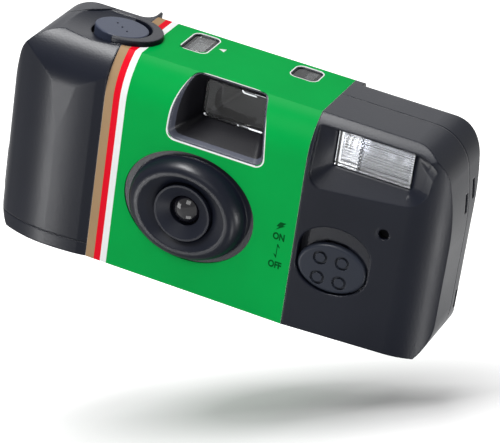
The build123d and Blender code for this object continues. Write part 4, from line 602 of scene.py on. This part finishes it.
def make_flash_panel():
    """Clear panel: plain at its left, a zigzag seam, then level ribs above fine upright ones,
    with painted shade darkening the ribs.
    """
    material, tree, shader = new_material("flash_panel")
    place, x, _, z = object_place(tree)
    zigzag = calc(tree, "PINGPONG", z, seam_swing)
    off_seam = calc(tree, "SUBTRACT", calc(tree, "SUBTRACT", x, ribs_from_x), zigzag)
    seam = calc(tree, "LESS_THAN", calc(tree, "ABSOLUTE", off_seam), seam_half_width)
    ribbed = calc(tree, "GREATER_THAN", off_seam, 0.0)
    upper = calc(tree, "GREATER_THAN", z, ribs_from_z)
    lower = calc(tree, "MULTIPLY", calc(tree, "SUBTRACT", 1.0, upper), ribbed)
    level_turns = calc(tree, "MULTIPLY", z, 2 * math.pi / rib_pitch)
    upright_turns = calc(tree, "MULTIPLY", x, 4 * math.pi / rib_pitch)
    level_wave = calc(tree, "SINE", level_turns)
    upright_wave = calc(tree, "SINE", upright_turns)
    level_ribs = calc(tree, "MULTIPLY", calc(tree, "MULTIPLY", level_wave, ribbed), upper)
    upright_ribs = calc(tree, "MULTIPLY", upright_wave, lower)

    # Painted shade: the panel is tinted darker along the ribs
    groove_shade = calc(tree, "MULTIPLY", spread(tree, level_ribs, 0.55, 0.95), 0.75)
    fine_shade = spread(tree, upright_wave, -1.0, 1.0, 0.2, 0.4)
    shaded = highest(tree, groove_shade, calc(tree, "MULTIPLY", lower, fine_shade))
    tint = blend_colours(tree, shaded, panel_clear, panel_groove_shade)
    tint = blend_colours(tree, seam, tint, panel_seam)
    tree.links.new(tint, shader.inputs["Base Color"])
    tree.links.new(spread(tree, ribbed, 0.0, 1.0, 0.02, 0.14), shader.inputs["Roughness"])
    shader.inputs["Transmission Weight"].default_value = 1.0
    shader.inputs["IOR"].default_value = 1.49
    flow = calc(tree, "MULTIPLY", noise(tree, place, 300.0), 0.3)
    ribs = calc(tree, "ADD", level_ribs, upright_ribs)
    add_bump(tree, shader, calc(tree, "ADD", ribs, flow), 0.15, 0.08)
    return material


def framed_window(name, low, high, half, left_tint, right_tint):
    """Clear moulded window with painted shade that colours its bevelled border dark, and a tint
    on each half.
    """
    border_width = 0.75 * MM
    past_all = 2.0 * MM
    material, tree, shader = new_material(name)
    place, x, y, _ = object_place(tree)
    across, along = window_sides(tree, x, y, low, high, half)
    border = use_group(
        tree, outline_ring, Across=across, Along=along, Corner=window_corner,
        From=-border_width, To=past_all,
    )
    right = calc(tree, "GREATER_THAN", x, middle(low, high, 0))
    tint = blend_colours(tree, right, left_tint, right_tint)
    # Painted shade: the border of the window is coloured dark
    tint = blend_colours(tree, border.outputs["Mask"], tint, window_border_shade)
    tree.links.new(tint, shader.inputs["Base Color"])
    flow = noise(tree, place, 220.0)
    tree.links.new(spread(tree, flow, 0.3, 0.7, 0.02, 0.05), shader.inputs["Roughness"])
    shader.inputs["Transmission Weight"].default_value = 0.9
    shader.inputs["IOR"].default_value = 1.45
    add_bump(tree, shader, flow, 0.05, 0.02)
    return material


# Body plastic, and the front cover's own funnel: the shoulder above it is a quarter oval
body_dullness = 0.34
body_gloss = 0.09
body_repeats = 2400.0
body_grain = 0.35
body_wear = 0.04
body_edge_mm = 0.6
rim_reach = 1.5 * MM
rim_below_foot = 0.6 * MM
shoulder_foot_z = 41.0 * MM
shoulder_rise = 10.6 * MM
shoulder_depth = 5.45 * MM
crease_y = wrap_low[1] + shoulder_depth
finder_left_x = -14.2 * MM
finder_right_x = 11.6 * MM


def make_front_plastic():
    """Body plastic, with painted sheen that makes the rim of the viewfinder's funnel lighter, and
    a dull grained wall inside the funnel.
    """
    material, tree, shader, body, grain, edges = start_plastic(
        "front_black", black_plastic, body_dullness, body_repeats, body_wear, body_edge_mm
    )
    place, x, y, z = object_place(tree)
    above_foot = calc(tree, "SUBTRACT", z, shoulder_foot_z)
    share = calc(tree, "DIVIDE", above_foot, shoulder_rise, clamp=True)
    arc = calc(tree, "SQRT", calc(tree, "SUBTRACT", 1.0, calc(tree, "POWER", share, 2.0)))
    front_y = calc(tree, "MULTIPLY_ADD", arc, -shoulder_depth, crease_y)
    depth = calc(tree, "SUBTRACT", y, front_y)
    right_of = calc(tree, "GREATER_THAN", x, finder_left_x)
    across = calc(tree, "MULTIPLY", right_of, calc(tree, "LESS_THAN", x, finder_right_x))
    over_foot = calc(tree, "GREATER_THAN", z, funnel_foot_z - rim_below_foot)
    finder = calc(tree, "MULTIPLY", across, over_foot)
    inner = calc(tree, "MULTIPLY", finder, calc(tree, "GREATER_THAN", depth, rim_reach))
    rim = calc(tree, "SUBTRACT", finder, inner)
    # Painted sheen: the funnel's rim is coloured lighter than the body
    body = blend_colours(tree, rim, body, funnel_rim_painted_sheen)
    body = blend_colours(tree, inner, body, funnel_wall)
    body = blend_colours(tree, edges.outputs["Mask"], body, black_worn)
    tree.links.new(body, shader.inputs["Base Color"])
    shader.inputs["Specular IOR Level"].default_value = body_gloss
    coarse = calc(tree, "MULTIPLY", inner, noise(tree, place, 3800.0))
    height = calc(tree, "ADD", grain.outputs["Height"], coarse)
    add_bump(tree, shader, height, body_grain, grain_depth_mm, edges.outputs["Normal"])
    return material


def make_lens_ring():
    """Satin black ring with turning marks round the lens."""
    material, tree, shader = new_material("lens_ring")
    rings = use_group(tree, turned_rings, **{
        "Axis X": middle(ring_low, ring_high, 0), "Axis Z": middle(ring_low, ring_high, 2),
    })
    edges = use_group(tree, worn_edges, Wear=0.25)
    grain = use_group(tree, moulded_grain, Repeats=3200.0, Dullness=0.46)
    body = blend_colours(tree, edges.outputs["Mask"], black_plastic, button_plastic)
    tree.links.new(body, shader.inputs["Base Color"])
    tree.links.new(grain.outputs["Roughness"], shader.inputs["Roughness"])
    shader.inputs["Specular IOR Level"].default_value = 0.08
    add_bump(tree, shader, rings.outputs["Height"], 0.12, 0.03, edges.outputs["Normal"])
    return material


def banded_sleeve(name, base, band, axis, low, high, dullness):
    """Plastic or lacquered sleeve with one band of another colour round it."""
    material, tree, shader = new_material(name)
    place, *axes = object_place(tree)
    past_low = calc(tree, "GREATER_THAN", axes[axis], low)
    before_high = calc(tree, "LESS_THAN", axes[axis], high)
    inside = calc(tree, "MULTIPLY", past_low, before_high)
    folds = noise(tree, place, 260.0, 3.0)
    roughness = spread(tree, folds, 0.3, 0.7, 0.7 * dullness, 1.3 * dullness)
    tree.links.new(blend_colours(tree, inside, base, band), shader.inputs["Base Color"])
    tree.links.new(roughness, shader.inputs["Roughness"])
    edges = use_group(tree, worn_edges, Wear=0.4)
    add_bump(tree, shader, folds, 0.1, 0.05, edges.outputs["Normal"])
    return material


def make_winding(name, wire, repeats):
    """Lacquered wire wound in fine turns up the piece, with painted shade darkening it between
    the turns.
    """
    material, tree, shader = new_material(name)
    place, _, _, z = object_place(tree)
    turns = calc(tree, "SINE", calc(tree, "MULTIPLY", z, repeats))
    patches = noise(tree, place, 300.0)
    lit_crest = spread(tree, turns, -1.0, 0.4)
    # Painted shade: the wire is coloured darker between the turns
    body = blend_colours(tree, lit_crest, scaled(wire, 0.5), wire)
    tree.links.new(body, shader.inputs["Base Color"])
    tree.links.new(spread(tree, patches, 0.3, 0.7, 0.25, 0.45), shader.inputs["Roughness"])
    add_bump(tree, shader, turns, 0.5, 0.06)
    return material


def make_board():
    """Brown laminate with tinned tracks."""
    material, tree, shader = new_material("board_laminate")
    place = object_place(tree)[0]
    turn_up = tree.nodes.new("ShaderNodeMapping")
    turn_up.inputs["Rotation"].default_value = (math.radians(90), 0, 0)
    tree.links.new(place, turn_up.inputs["Vector"])
    tracks = tree.nodes.new("ShaderNodeTexBrick")
    tracks.inputs["Scale"].default_value = 120.0
    tracks.inputs["Mortar Size"].default_value = 0.04
    tree.links.new(turn_up.outputs[0], tracks.inputs["Vector"])
    on_track = tracks.outputs["Fac"]
    fibres = noise(tree, place, 900.0, 3.0)
    base = blend_colours(tree, fibres, board_brown, scaled(board_brown, 1.25))
    body = blend_colours(tree, on_track, base, steel_grey)
    height = calc(tree, "ADD", on_track, calc(tree, "MULTIPLY", fibres, 0.2))
    tree.links.new(body, shader.inputs["Base Color"])
    tree.links.new(spread(tree, on_track, 0.0, 1.0, 0.5, 0.28), shader.inputs["Roughness"])
    add_bump(tree, shader, height, 0.3, 0.05)
    return material


def make_coated_lens():
    """Coated lens with a faint bloom, its glass painted dark as a stand-in for the shade inside
    the camera.
    """
    material, tree, shader = new_material("lens_glass")
    bloom = noise(tree, object_place(tree)[0], 300.0, 1.0)
    # Painted shade: the glass takes a near-black colour
    tint = blend_colours(tree, bloom, lens_painted_shade, lens_bloom)
    tree.links.new(tint, shader.inputs["Base Color"])
    tree.links.new(spread(tree, bloom, 0.3, 0.7, 0.05, 0.09), shader.inputs["Roughness"])
    shader.inputs["Transmission Weight"].default_value = 0.25
    shader.inputs["IOR"].default_value = 1.4
    return material


# One finish for each material slot of the record
can_rim = 1.2 * MM
capacitor_band = (capacitor_high[0] - 1.4 * MM, capacitor_high[0] - 0.6 * MM)
battery_band = (battery_high[0] - 9.0 * MM, battery_high[0] - 1.2 * MM)

finishes = {
    "cover_black": moulded_plastic(
        "body_black", black_plastic, black_worn, body_dullness, body_repeats, body_grain,
        gloss=body_gloss, wear=body_wear, edge_mm=body_edge_mm,
    ),
    "button_black": moulded_plastic(
        "button_black", button_plastic, button_worn, 0.4, 3000.0, 0.12, gloss=body_gloss
    ),
    "knob_black": moulded_plastic(
        "knob_black", knob_plastic, knob_worn, 0.4, 3000.0, 0.12, gloss=body_gloss
    ),
    "wheel_black": moulded_plastic(
        "wheel_black", wheel_plastic, wheel_worn, 0.42, 2600.0, 0.2
    ),
    "frame_black": moulded_plastic("frame_black", dull_black, frame_worn, 0.6, 1800.0, 0.25),
    "spool_black": moulded_plastic("spool_black", dull_black, spool_worn, 0.5, 2200.0, 0.15),
    "gear_white": moulded_plastic(
        "natural_white", natural_white, natural_worn, 0.42, 1800.0, 0.1, gloss=0.4
    ),
    "dial_white": moulded_plastic(
        "dial_plastic", dial_white, dial_worn, 0.4, 1800.0, 0.05, gloss=0.4
    ),
    "wrap_paper": make_wrap_paper(),
    "can_metal": banded_sleeve(
        "lacquered_tin", steel_grey, tin_lacquer, 2, can_low[2] + can_rim,
        can_high[2] - can_rim, 0.3,
    ),
    "film": make_film(),
    "clear_window": framed_window(
        "window_plastic", counter_low, counter_high, counter_half,
        paint(236, 240, 242), paint(244, 246, 248),
    ),
    "clear_lens": clear_plastic("finder_plastic", paint(248, 250, 252), 0.02, 1.28),
    "taking_lens": make_coated_lens(),
    "ring_black": make_lens_ring(),
    "blade_black": metal("blackened_steel", paint(52, 52, 56), 0.4, 8.0),
    "clear_flash": make_flash_panel(),
    "reflector": make_reflector(),
    "tube_glass": clear_plastic("tube_glass", paint(250, 251, 255), 0.01, 1.5),
    "board": make_board(),
    "capacitor": banded_sleeve(
        "capacitor_sleeve", paint(30, 34, 52), paint(186, 190, 200), 0, *capacitor_band, 0.35
    ),
    "transformer": make_winding("taped_core", paint(196, 164, 60), 9000.0),
    "coil": make_winding("copper_coil", paint(150, 74, 38), 24000.0),
    "battery": banded_sleeve(
        "battery_jacket", paint(30, 32, 36), paint(196, 150, 92), 0, *battery_band, 0.3
    ),
    "contact_metal": metal("nickel_strip", paint(208, 204, 192), 0.25, 6.0),
    "lamp_glass": clear_plastic("lamp_glass", paint(255, 214, 190), 0.02, 1.5),
    "clear_pipe": framed_window(
        "pipe_plastic", lamp_low, lamp_high, lamp_half, paint(70, 72, 78), paint(190, 192, 196)
    ),
}

for item in subparts:
    part = nodes[item["node"]]
    part.data.materials.clear()
    part.data.materials.append(finishes[item["material_slot"]])
nodes["front_cover"].data.materials[0] = make_front_plastic()


# Small pieces


def finish_piece(piece, name, body, material):
    """Names a piece, gives it its finish and lets it ride on a body."""
    piece.name = name
    piece.data.name = name
    piece.data.materials.clear()
    piece.data.materials.append(material)
    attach(piece, body)


def round_edges(piece, width, segments):
    """Rounds every sharp edge of a piece."""
    rounding = piece.modifiers.new("rounding", "BEVEL")
    rounding.width = width
    rounding.segments = segments
    bpy.ops.object.modifier_apply(modifier="rounding")


capital_share = 0.69
boldness = 0.06


def letters(words, capital_mm, thickness_mm):
    """Bold lettering as a mesh, lying flat at the origin and centred."""
    bpy.ops.object.select_all(action="DESELECT")
    bpy.ops.object.text_add(location=(0, 0, 0))
    piece = bpy.context.object
    piece.data.body = words
    piece.data.size = capital_mm * MM / capital_share
    piece.data.align_x = "CENTER"
    piece.data.align_y = "CENTER"
    piece.data.extrude = thickness_mm * MM / 2
    piece.data.offset = boldness * capital_mm * MM
    piece.data.resolution_u = 4
    bpy.ops.object.convert(target="MESH")
    return bpy.context.object


def flat_shape(corners_mm, thickness_mm):
    """Flat sign with these corners as a mesh, lying at the origin and facing up."""
    bpy.ops.object.select_all(action="DESELECT")
    outline = bpy.data.curves.new("sign", "CURVE")
    outline.dimensions = "2D"
    outline.fill_mode = "BOTH"
    outline.extrude = thickness_mm * MM / 2
    spline = outline.splines.new("POLY")
    spline.points.add(len(corners_mm) - 1)
    for point, (x, y) in zip(spline.points, corners_mm):
        point.co = (x * MM, y * MM, 0, 1)
    spline.use_cyclic_u = True
    piece = bpy.data.objects.new("sign", outline)
    bpy.context.scene.collection.objects.link(piece)
    bpy.context.view_layer.objects.active = piece
    piece.select_set(True)
    bpy.ops.object.convert(target="MESH")
    return bpy.context.object


# Print beside the flash switch, in one column on the front of the wrap
ink = printing_ink("printing_ink", ink_green, 0.03)
white_ink = printing_ink("white_ink", paper_white, 0.1)
dial_ink = printing_ink("dial_ink", dial_black, 0.1)
ink_thickness_mm = 0.02
column_x = 16.9 * MM
bolt_z = 23.9 * MM
on_z = 21.2 * MM
arrow_z = 17.7 * MM
off_z = 14.1 * MM
word_height_mm = 1.6
word_narrowing = 0.78
bolt_corners = [
    (-0.1, 1.1), (1.3, 1.1), (0.55, 0.35), (1.15, 0.35),
    (-1.1, -1.15), (-0.25, -0.15), (-0.95, -0.15),
]
arrow_corners = [
    (-0.09, -1.75), (0.09, -1.75), (0.09, 1.1), (0.62, 0.75), (0.62, 0.95),
    (0.09, 1.75), (-0.09, 1.75), (-0.09, -1.1), (-0.62, -0.75), (-0.62, -0.95),
]
pointer_corners = [(-0.9, 0.0), (0.7, -0.85), (0.7, 0.85)]


def print_on_front(piece, name, z, narrowing=1.0):
    """Stands a word or sign up on the front of the wrap."""
    narrow = Matrix.Diagonal((narrowing, 1.0, 1.0, 1.0))
    stand_up = Matrix.Rotation(math.radians(90), 4, "X")
    spot = Matrix.Translation((column_x, wrap_low[1], z))
    piece.data.transform(spot @ stand_up @ narrow)
    finish_piece(piece, name, "camera_body", ink)


for name, words, word_z in (("word_on", "ON", on_z), ("word_off", "OFF", off_z)):
    word = letters(words, word_height_mm, ink_thickness_mm)
    print_on_front(word, name, word_z, word_narrowing)
print_on_front(flat_shape(bolt_corners, ink_thickness_mm), "flash_sign", bolt_z)
print_on_front(flat_shape(arrow_corners, ink_thickness_mm), "slide_sign", arrow_z)

# Pointer beside the counter window
pointer = flat_shape(pointer_corners, ink_thickness_mm)
pointer_x = counter_high[0] + 1.9 * MM
pointer_y = middle(counter_low, counter_high, 1)
pointer.data.transform(Matrix.Translation((pointer_x, pointer_y, wrap_high[2])))
finish_piece(pointer, "counter_pointer", "camera_body", white_ink)

# Numbers of the counter dial, every third exposure
dial_x = middle(dial_low, dial_high, 0)
dial_y = middle(dial_low, dial_high, 1)
number_radius = 4.9 * MM
number_height_mm = 1.7
number_count = 10
number_turn = math.radians(70)
first_number = 27
for step in range(number_count):
    number = letters(str(first_number - 3 * step), number_height_mm, ink_thickness_mm)
    angle = 2 * math.pi * step / number_count + number_turn
    spot = Vector((
        dial_x + number_radius * math.cos(angle),
        dial_y + number_radius * math.sin(angle),
        dial_high[2],
    ))
    facing_out = Matrix.Rotation(angle - math.pi / 2, 4, "Z")
    number.data.transform(Matrix.Translation(spot) @ facing_out)
    finish_piece(number, f"dial_number_{step + 1}", "counter", dial_ink)

# Three raised dots on the button
button_x = middle(button_low, button_high, 0)
button_y = -0.2 * MM
dot_z = button_high[2] - 0.13 * MM
dot_step = Vector((1.8, -1.3)) * MM
dot_radius = 0.22 * MM
dot_length = 0.5 * MM
for place in (-1, 0, 1):
    bpy.ops.object.select_all(action="DESELECT")
    bpy.ops.mesh.primitive_cylinder_add(
        vertices=20, radius=dot_radius, depth=dot_length,
        location=(button_x + place * dot_step.x, button_y + place * dot_step.y, dot_z),
    )
    dot = bpy.context.object
    bpy.ops.object.transform_apply(location=True, rotation=True, scale=True)
    round_edges(dot, 0.09 * MM, 3)
    bpy.ops.object.shade_smooth()
    finish_piece(dot, f"button_dot_{place + 2}", "button", finishes["button_black"])

# Domed front of the taking lens, a cap cut from a ball
dome_radius = 3.3 * MM
dome_height = 1.6 * MM
dome_foot_y = taking_low[1] + 0.05 * MM
ball_radius = (dome_radius ** 2 + dome_height ** 2) / (2 * dome_height)
ball_place = (
    middle(taking_low, taking_high, 0),
    dome_foot_y - dome_height + ball_radius,
    middle(taking_low, taking_high, 2),
)
bpy.ops.object.select_all(action="DESELECT")
bpy.ops.mesh.primitive_uv_sphere_add(
    segments=64, ring_count=48, radius=ball_radius, location=ball_place
)
dome = bpy.context.object
bpy.ops.object.transform_apply(location=True, rotation=True, scale=True)
bpy.ops.object.mode_set(mode="EDIT")
bpy.ops.mesh.select_all(action="SELECT")
bpy.ops.mesh.bisect(
    plane_co=(0, dome_foot_y, 0), plane_no=(0, 1, 0), use_fill=True, clear_outer=True
)
bpy.ops.mesh.select_all(action="SELECT")
bpy.ops.mesh.normals_make_consistent(inside=False)
bpy.ops.object.mode_set(mode="OBJECT")
bpy.ops.object.shade_smooth_by_angle(angle=math.radians(40))
finish_piece(dome, "lens_dome", "camera_body", finishes["taking_lens"])

# Painted shade: a black sheet over the front of the flash board, so the hole and the switch slot
# look dark inside
sheet_margin = 1.0 * MM
sheet_thickness = 0.06 * MM
sheet_middle_y = board_low[1] - 0.07 * MM + sheet_thickness / 2
bpy.ops.object.select_all(action="DESELECT")
bpy.ops.mesh.primitive_cube_add(size=1.0, location=(0, 0, 0))
shade_sheet = bpy.context.object
bpy.ops.object.mode_set(mode="EDIT")
bpy.ops.mesh.select_all(action="SELECT")
bpy.ops.transform.resize(value=(
    board_high[0] - board_low[0] - 2 * sheet_margin,
    sheet_thickness,
    board_high[2] - board_low[2] - 2 * sheet_margin,
))
bpy.ops.transform.translate(value=(
    middle(board_low, board_high, 0), sheet_middle_y, middle(board_low, board_high, 2)
))
bpy.ops.object.mode_set(mode="OBJECT")
round_edges(shade_sheet, 0.02 * MM, 2)
finish_piece(shade_sheet, "board_shade_sheet", "camera_body", finishes["frame_black"])

# Floor below the object, tilted as the photograph's shadow shows it
floor_up = (0.965 * camera_up + 0.21 * backward - 0.125 * camera_right).normalized()
floor_back = floor_up.cross(camera_right).normalized()
floor_side = floor_back.cross(floor_up)
centre = Vector((0, 0, middle(*cad_bounds, 2)))
below = centre - 55.5 * MM * floor_up
shadow_middle = below + 9.0 * MM * camera_right
side_reach_mm = 70.0
back_reach_mm = 42.0
floor_size = 4.0
white = (1, 1, 1, 1)

bpy.ops.object.select_all(action="DESELECT")
bpy.ops.mesh.primitive_plane_add(size=floor_size, location=(0, 0, 0))
floor = bpy.context.object
floor.name = "floor"
tilt = floor_up.to_track_quat("Z", "Y").to_matrix().to_4x4()
floor.data.transform(Matrix.Translation(below) @ tilt)

floor_material, floor_tree, floor_shader = new_material("studio_floor")
floor_shader.inputs["Base Color"].default_value = (0.6, 0.6, 0.6, 1.0)
floor_shader.inputs["Roughness"].default_value = 1.0
floor_shader.inputs["Specular IOR Level"].default_value = 0.0
floor_shader.inputs["Emission Color"].default_value = white
floor_place = object_place(floor_tree)[0]


def seen_rays(tree):
    """Mask of the rays that see the background: straight, by gloss or through glass."""
    rays = tree.nodes.new("ShaderNodeLightPath").outputs
    return highest(
        tree, rays["Is Camera Ray"], rays["Is Glossy Ray"], rays["Is Transmission Ray"]
    )


def floor_distance(way, reach_mm):
    """Squared distance on the floor from the shadow's middle, in reaches."""
    along = floor_tree.nodes.new("ShaderNodeVectorMath")
    along.operation = "DOT_PRODUCT"
    floor_tree.links.new(floor_place, along.inputs[0])
    along.inputs[1].default_value = way
    off = calc(floor_tree, "SUBTRACT", along.outputs["Value"], way.dot(shadow_middle))
    share = calc(floor_tree, "ABSOLUTE", calc(floor_tree, "DIVIDE", off, reach_mm * MM))
    return calc(floor_tree, "POWER", share, 2.0)


# The floor glows white like a page; round the shadow's middle the glow is dimmer, a painted
# shadow added to the one the lamp casts
side_square = floor_distance(floor_side, side_reach_mm)
back_square = floor_distance(floor_back, back_reach_mm)
reaches = calc(floor_tree, "SQRT", calc(floor_tree, "ADD", side_square, back_square))
glow_with_painted_shadow = spread(floor_tree, reaches, 0.3, 1.4, 0.1, 0.9)
strength = calc(floor_tree, "MULTIPLY", seen_rays(floor_tree), glow_with_painted_shadow)
floor_tree.links.new(strength, floor_shader.inputs["Emission Strength"])

# From below the floor is see-through
back_face = floor_tree.nodes.new("ShaderNodeNewGeometry").outputs["Backfacing"]
see_through = floor_tree.nodes.new("ShaderNodeBsdfTransparent")
either = floor_tree.nodes.new("ShaderNodeMixShader")
floor_tree.links.new(back_face, either.inputs[0])
floor_tree.links.new(floor_shader.outputs[0], either.inputs[1])
floor_tree.links.new(see_through.outputs[0], either.inputs[2])
floor_output = floor_tree.nodes["Material Output"]
floor_tree.links.new(either.outputs[0], floor_output.inputs["Surface"])
floor.data.materials.append(floor_material)

# World: white where it is seen, and a soft light on the object
ambient = 0.42
world = bpy.data.worlds.new("studio")
bpy.context.scene.world = world
world.use_nodes = True
sky_tree = world.node_tree
sky = sky_tree.nodes["Background"]
sky.inputs["Color"].default_value = white
sky_strength = spread(sky_tree, seen_rays(sky_tree), 0.0, 1.0, ambient, 1.0)
sky_tree.links.new(sky_strength, sky.inputs["Strength"])


def soft_box(name, toward, distance, width, height, brightness, receivers, blockers=None):
    """Area lamp that looks at the object and falls on some pieces; brightness is its radiance."""
    data = bpy.data.lights.new(name, "AREA")
    data.shape = "RECTANGLE"
    data.size = width
    data.size_y = height
    data.energy = brightness * math.pi * width * height
    lamp = bpy.data.objects.new(name, data)
    bpy.context.scene.collection.objects.link(lamp)
    direction = Vector(toward).normalized()
    facing = direction.to_track_quat("Z", "Y").to_matrix().to_4x4()
    lamp.matrix_world = Matrix.Translation(centre + distance * direction) @ facing
    lamp.visible_camera = False
    lamp.light_linking.receiver_collection = receivers
    if blockers is not None:
        lamp.light_linking.blocker_collection = blockers


floor_only = bpy.data.collections.new("floor_only")
floor_only.objects.link(floor)
not_the_floor = bpy.data.collections.new("not_the_floor")
not_the_floor.objects.link(floor)
not_the_floor.collection_objects[0].light_linking.link_state = "EXCLUDE"
black_pieces = bpy.data.collections.new("black_pieces")
clear_pieces = bpy.data.collections.new("clear_pieces")
black_slots = ("cover_black", "button_black", "knob_black", "ring_black", "wheel_black")
clear_slots = ("taking_lens", "clear_lens")
for item in subparts:
    if item["material_slot"] in black_slots:
        black_pieces.objects.link(nodes[item["node"]])
    if item["material_slot"] in clear_slots:
        clear_pieces.objects.link(nodes[item["node"]])
clear_pieces.objects.link(dome)

# One lamp makes the shadow on the floor, and two light the object alone. Each line has
# the way from the object to the lamp, its distance, width, height and brightness.
shadow_way = floor_up - 0.12 * camera_right
soft_box("shadow_light", shadow_way, 1.0, 1.5, 0.14, 19.0, floor_only)
soft_box("top_light", (-0.34, -0.1, 0.94), 0.8, 0.5, 0.2, 9.5, not_the_floor)
soft_box("front_light", (0.0, -0.8, 0.6), 0.5, 0.24, 0.2, 6.5, not_the_floor)

# The others draw soft highlights on the black plastic and on the lenses
near, nearer = 0.7, 0.5
for name, toward, distance, width, height, brightness, receivers in (
    ("rear_light", (-0.3, 0.84, 0.42), near, 0.6, 0.25, 2.2, black_pieces),
    ("left_light", (-0.46, -0.78, -0.42), near, 0.07, 0.22, 95.0, black_pieces),
    ("right_light", (0.68, -0.58, -0.46), near, 0.06, 0.24, 70.0, black_pieces),
    ("crest_light", (-0.4, -0.2, 0.9), near, 0.36, 0.1, 150.0, black_pieces),
    ("side_light", (0.97, -0.16, -0.08), near, 0.08, 0.2, 95.0, black_pieces),
    ("lens_light_left", (-0.78, -0.62, -0.09), nearer, 0.22, 0.22, 7.0, clear_pieces),
    ("lens_light_low", (0.13, -0.52, -0.85), nearer, 0.2, 0.2, 5.0, clear_pieces),
):
    soft_box(name, toward, distance, width, height, brightness, receivers, not_the_floor)
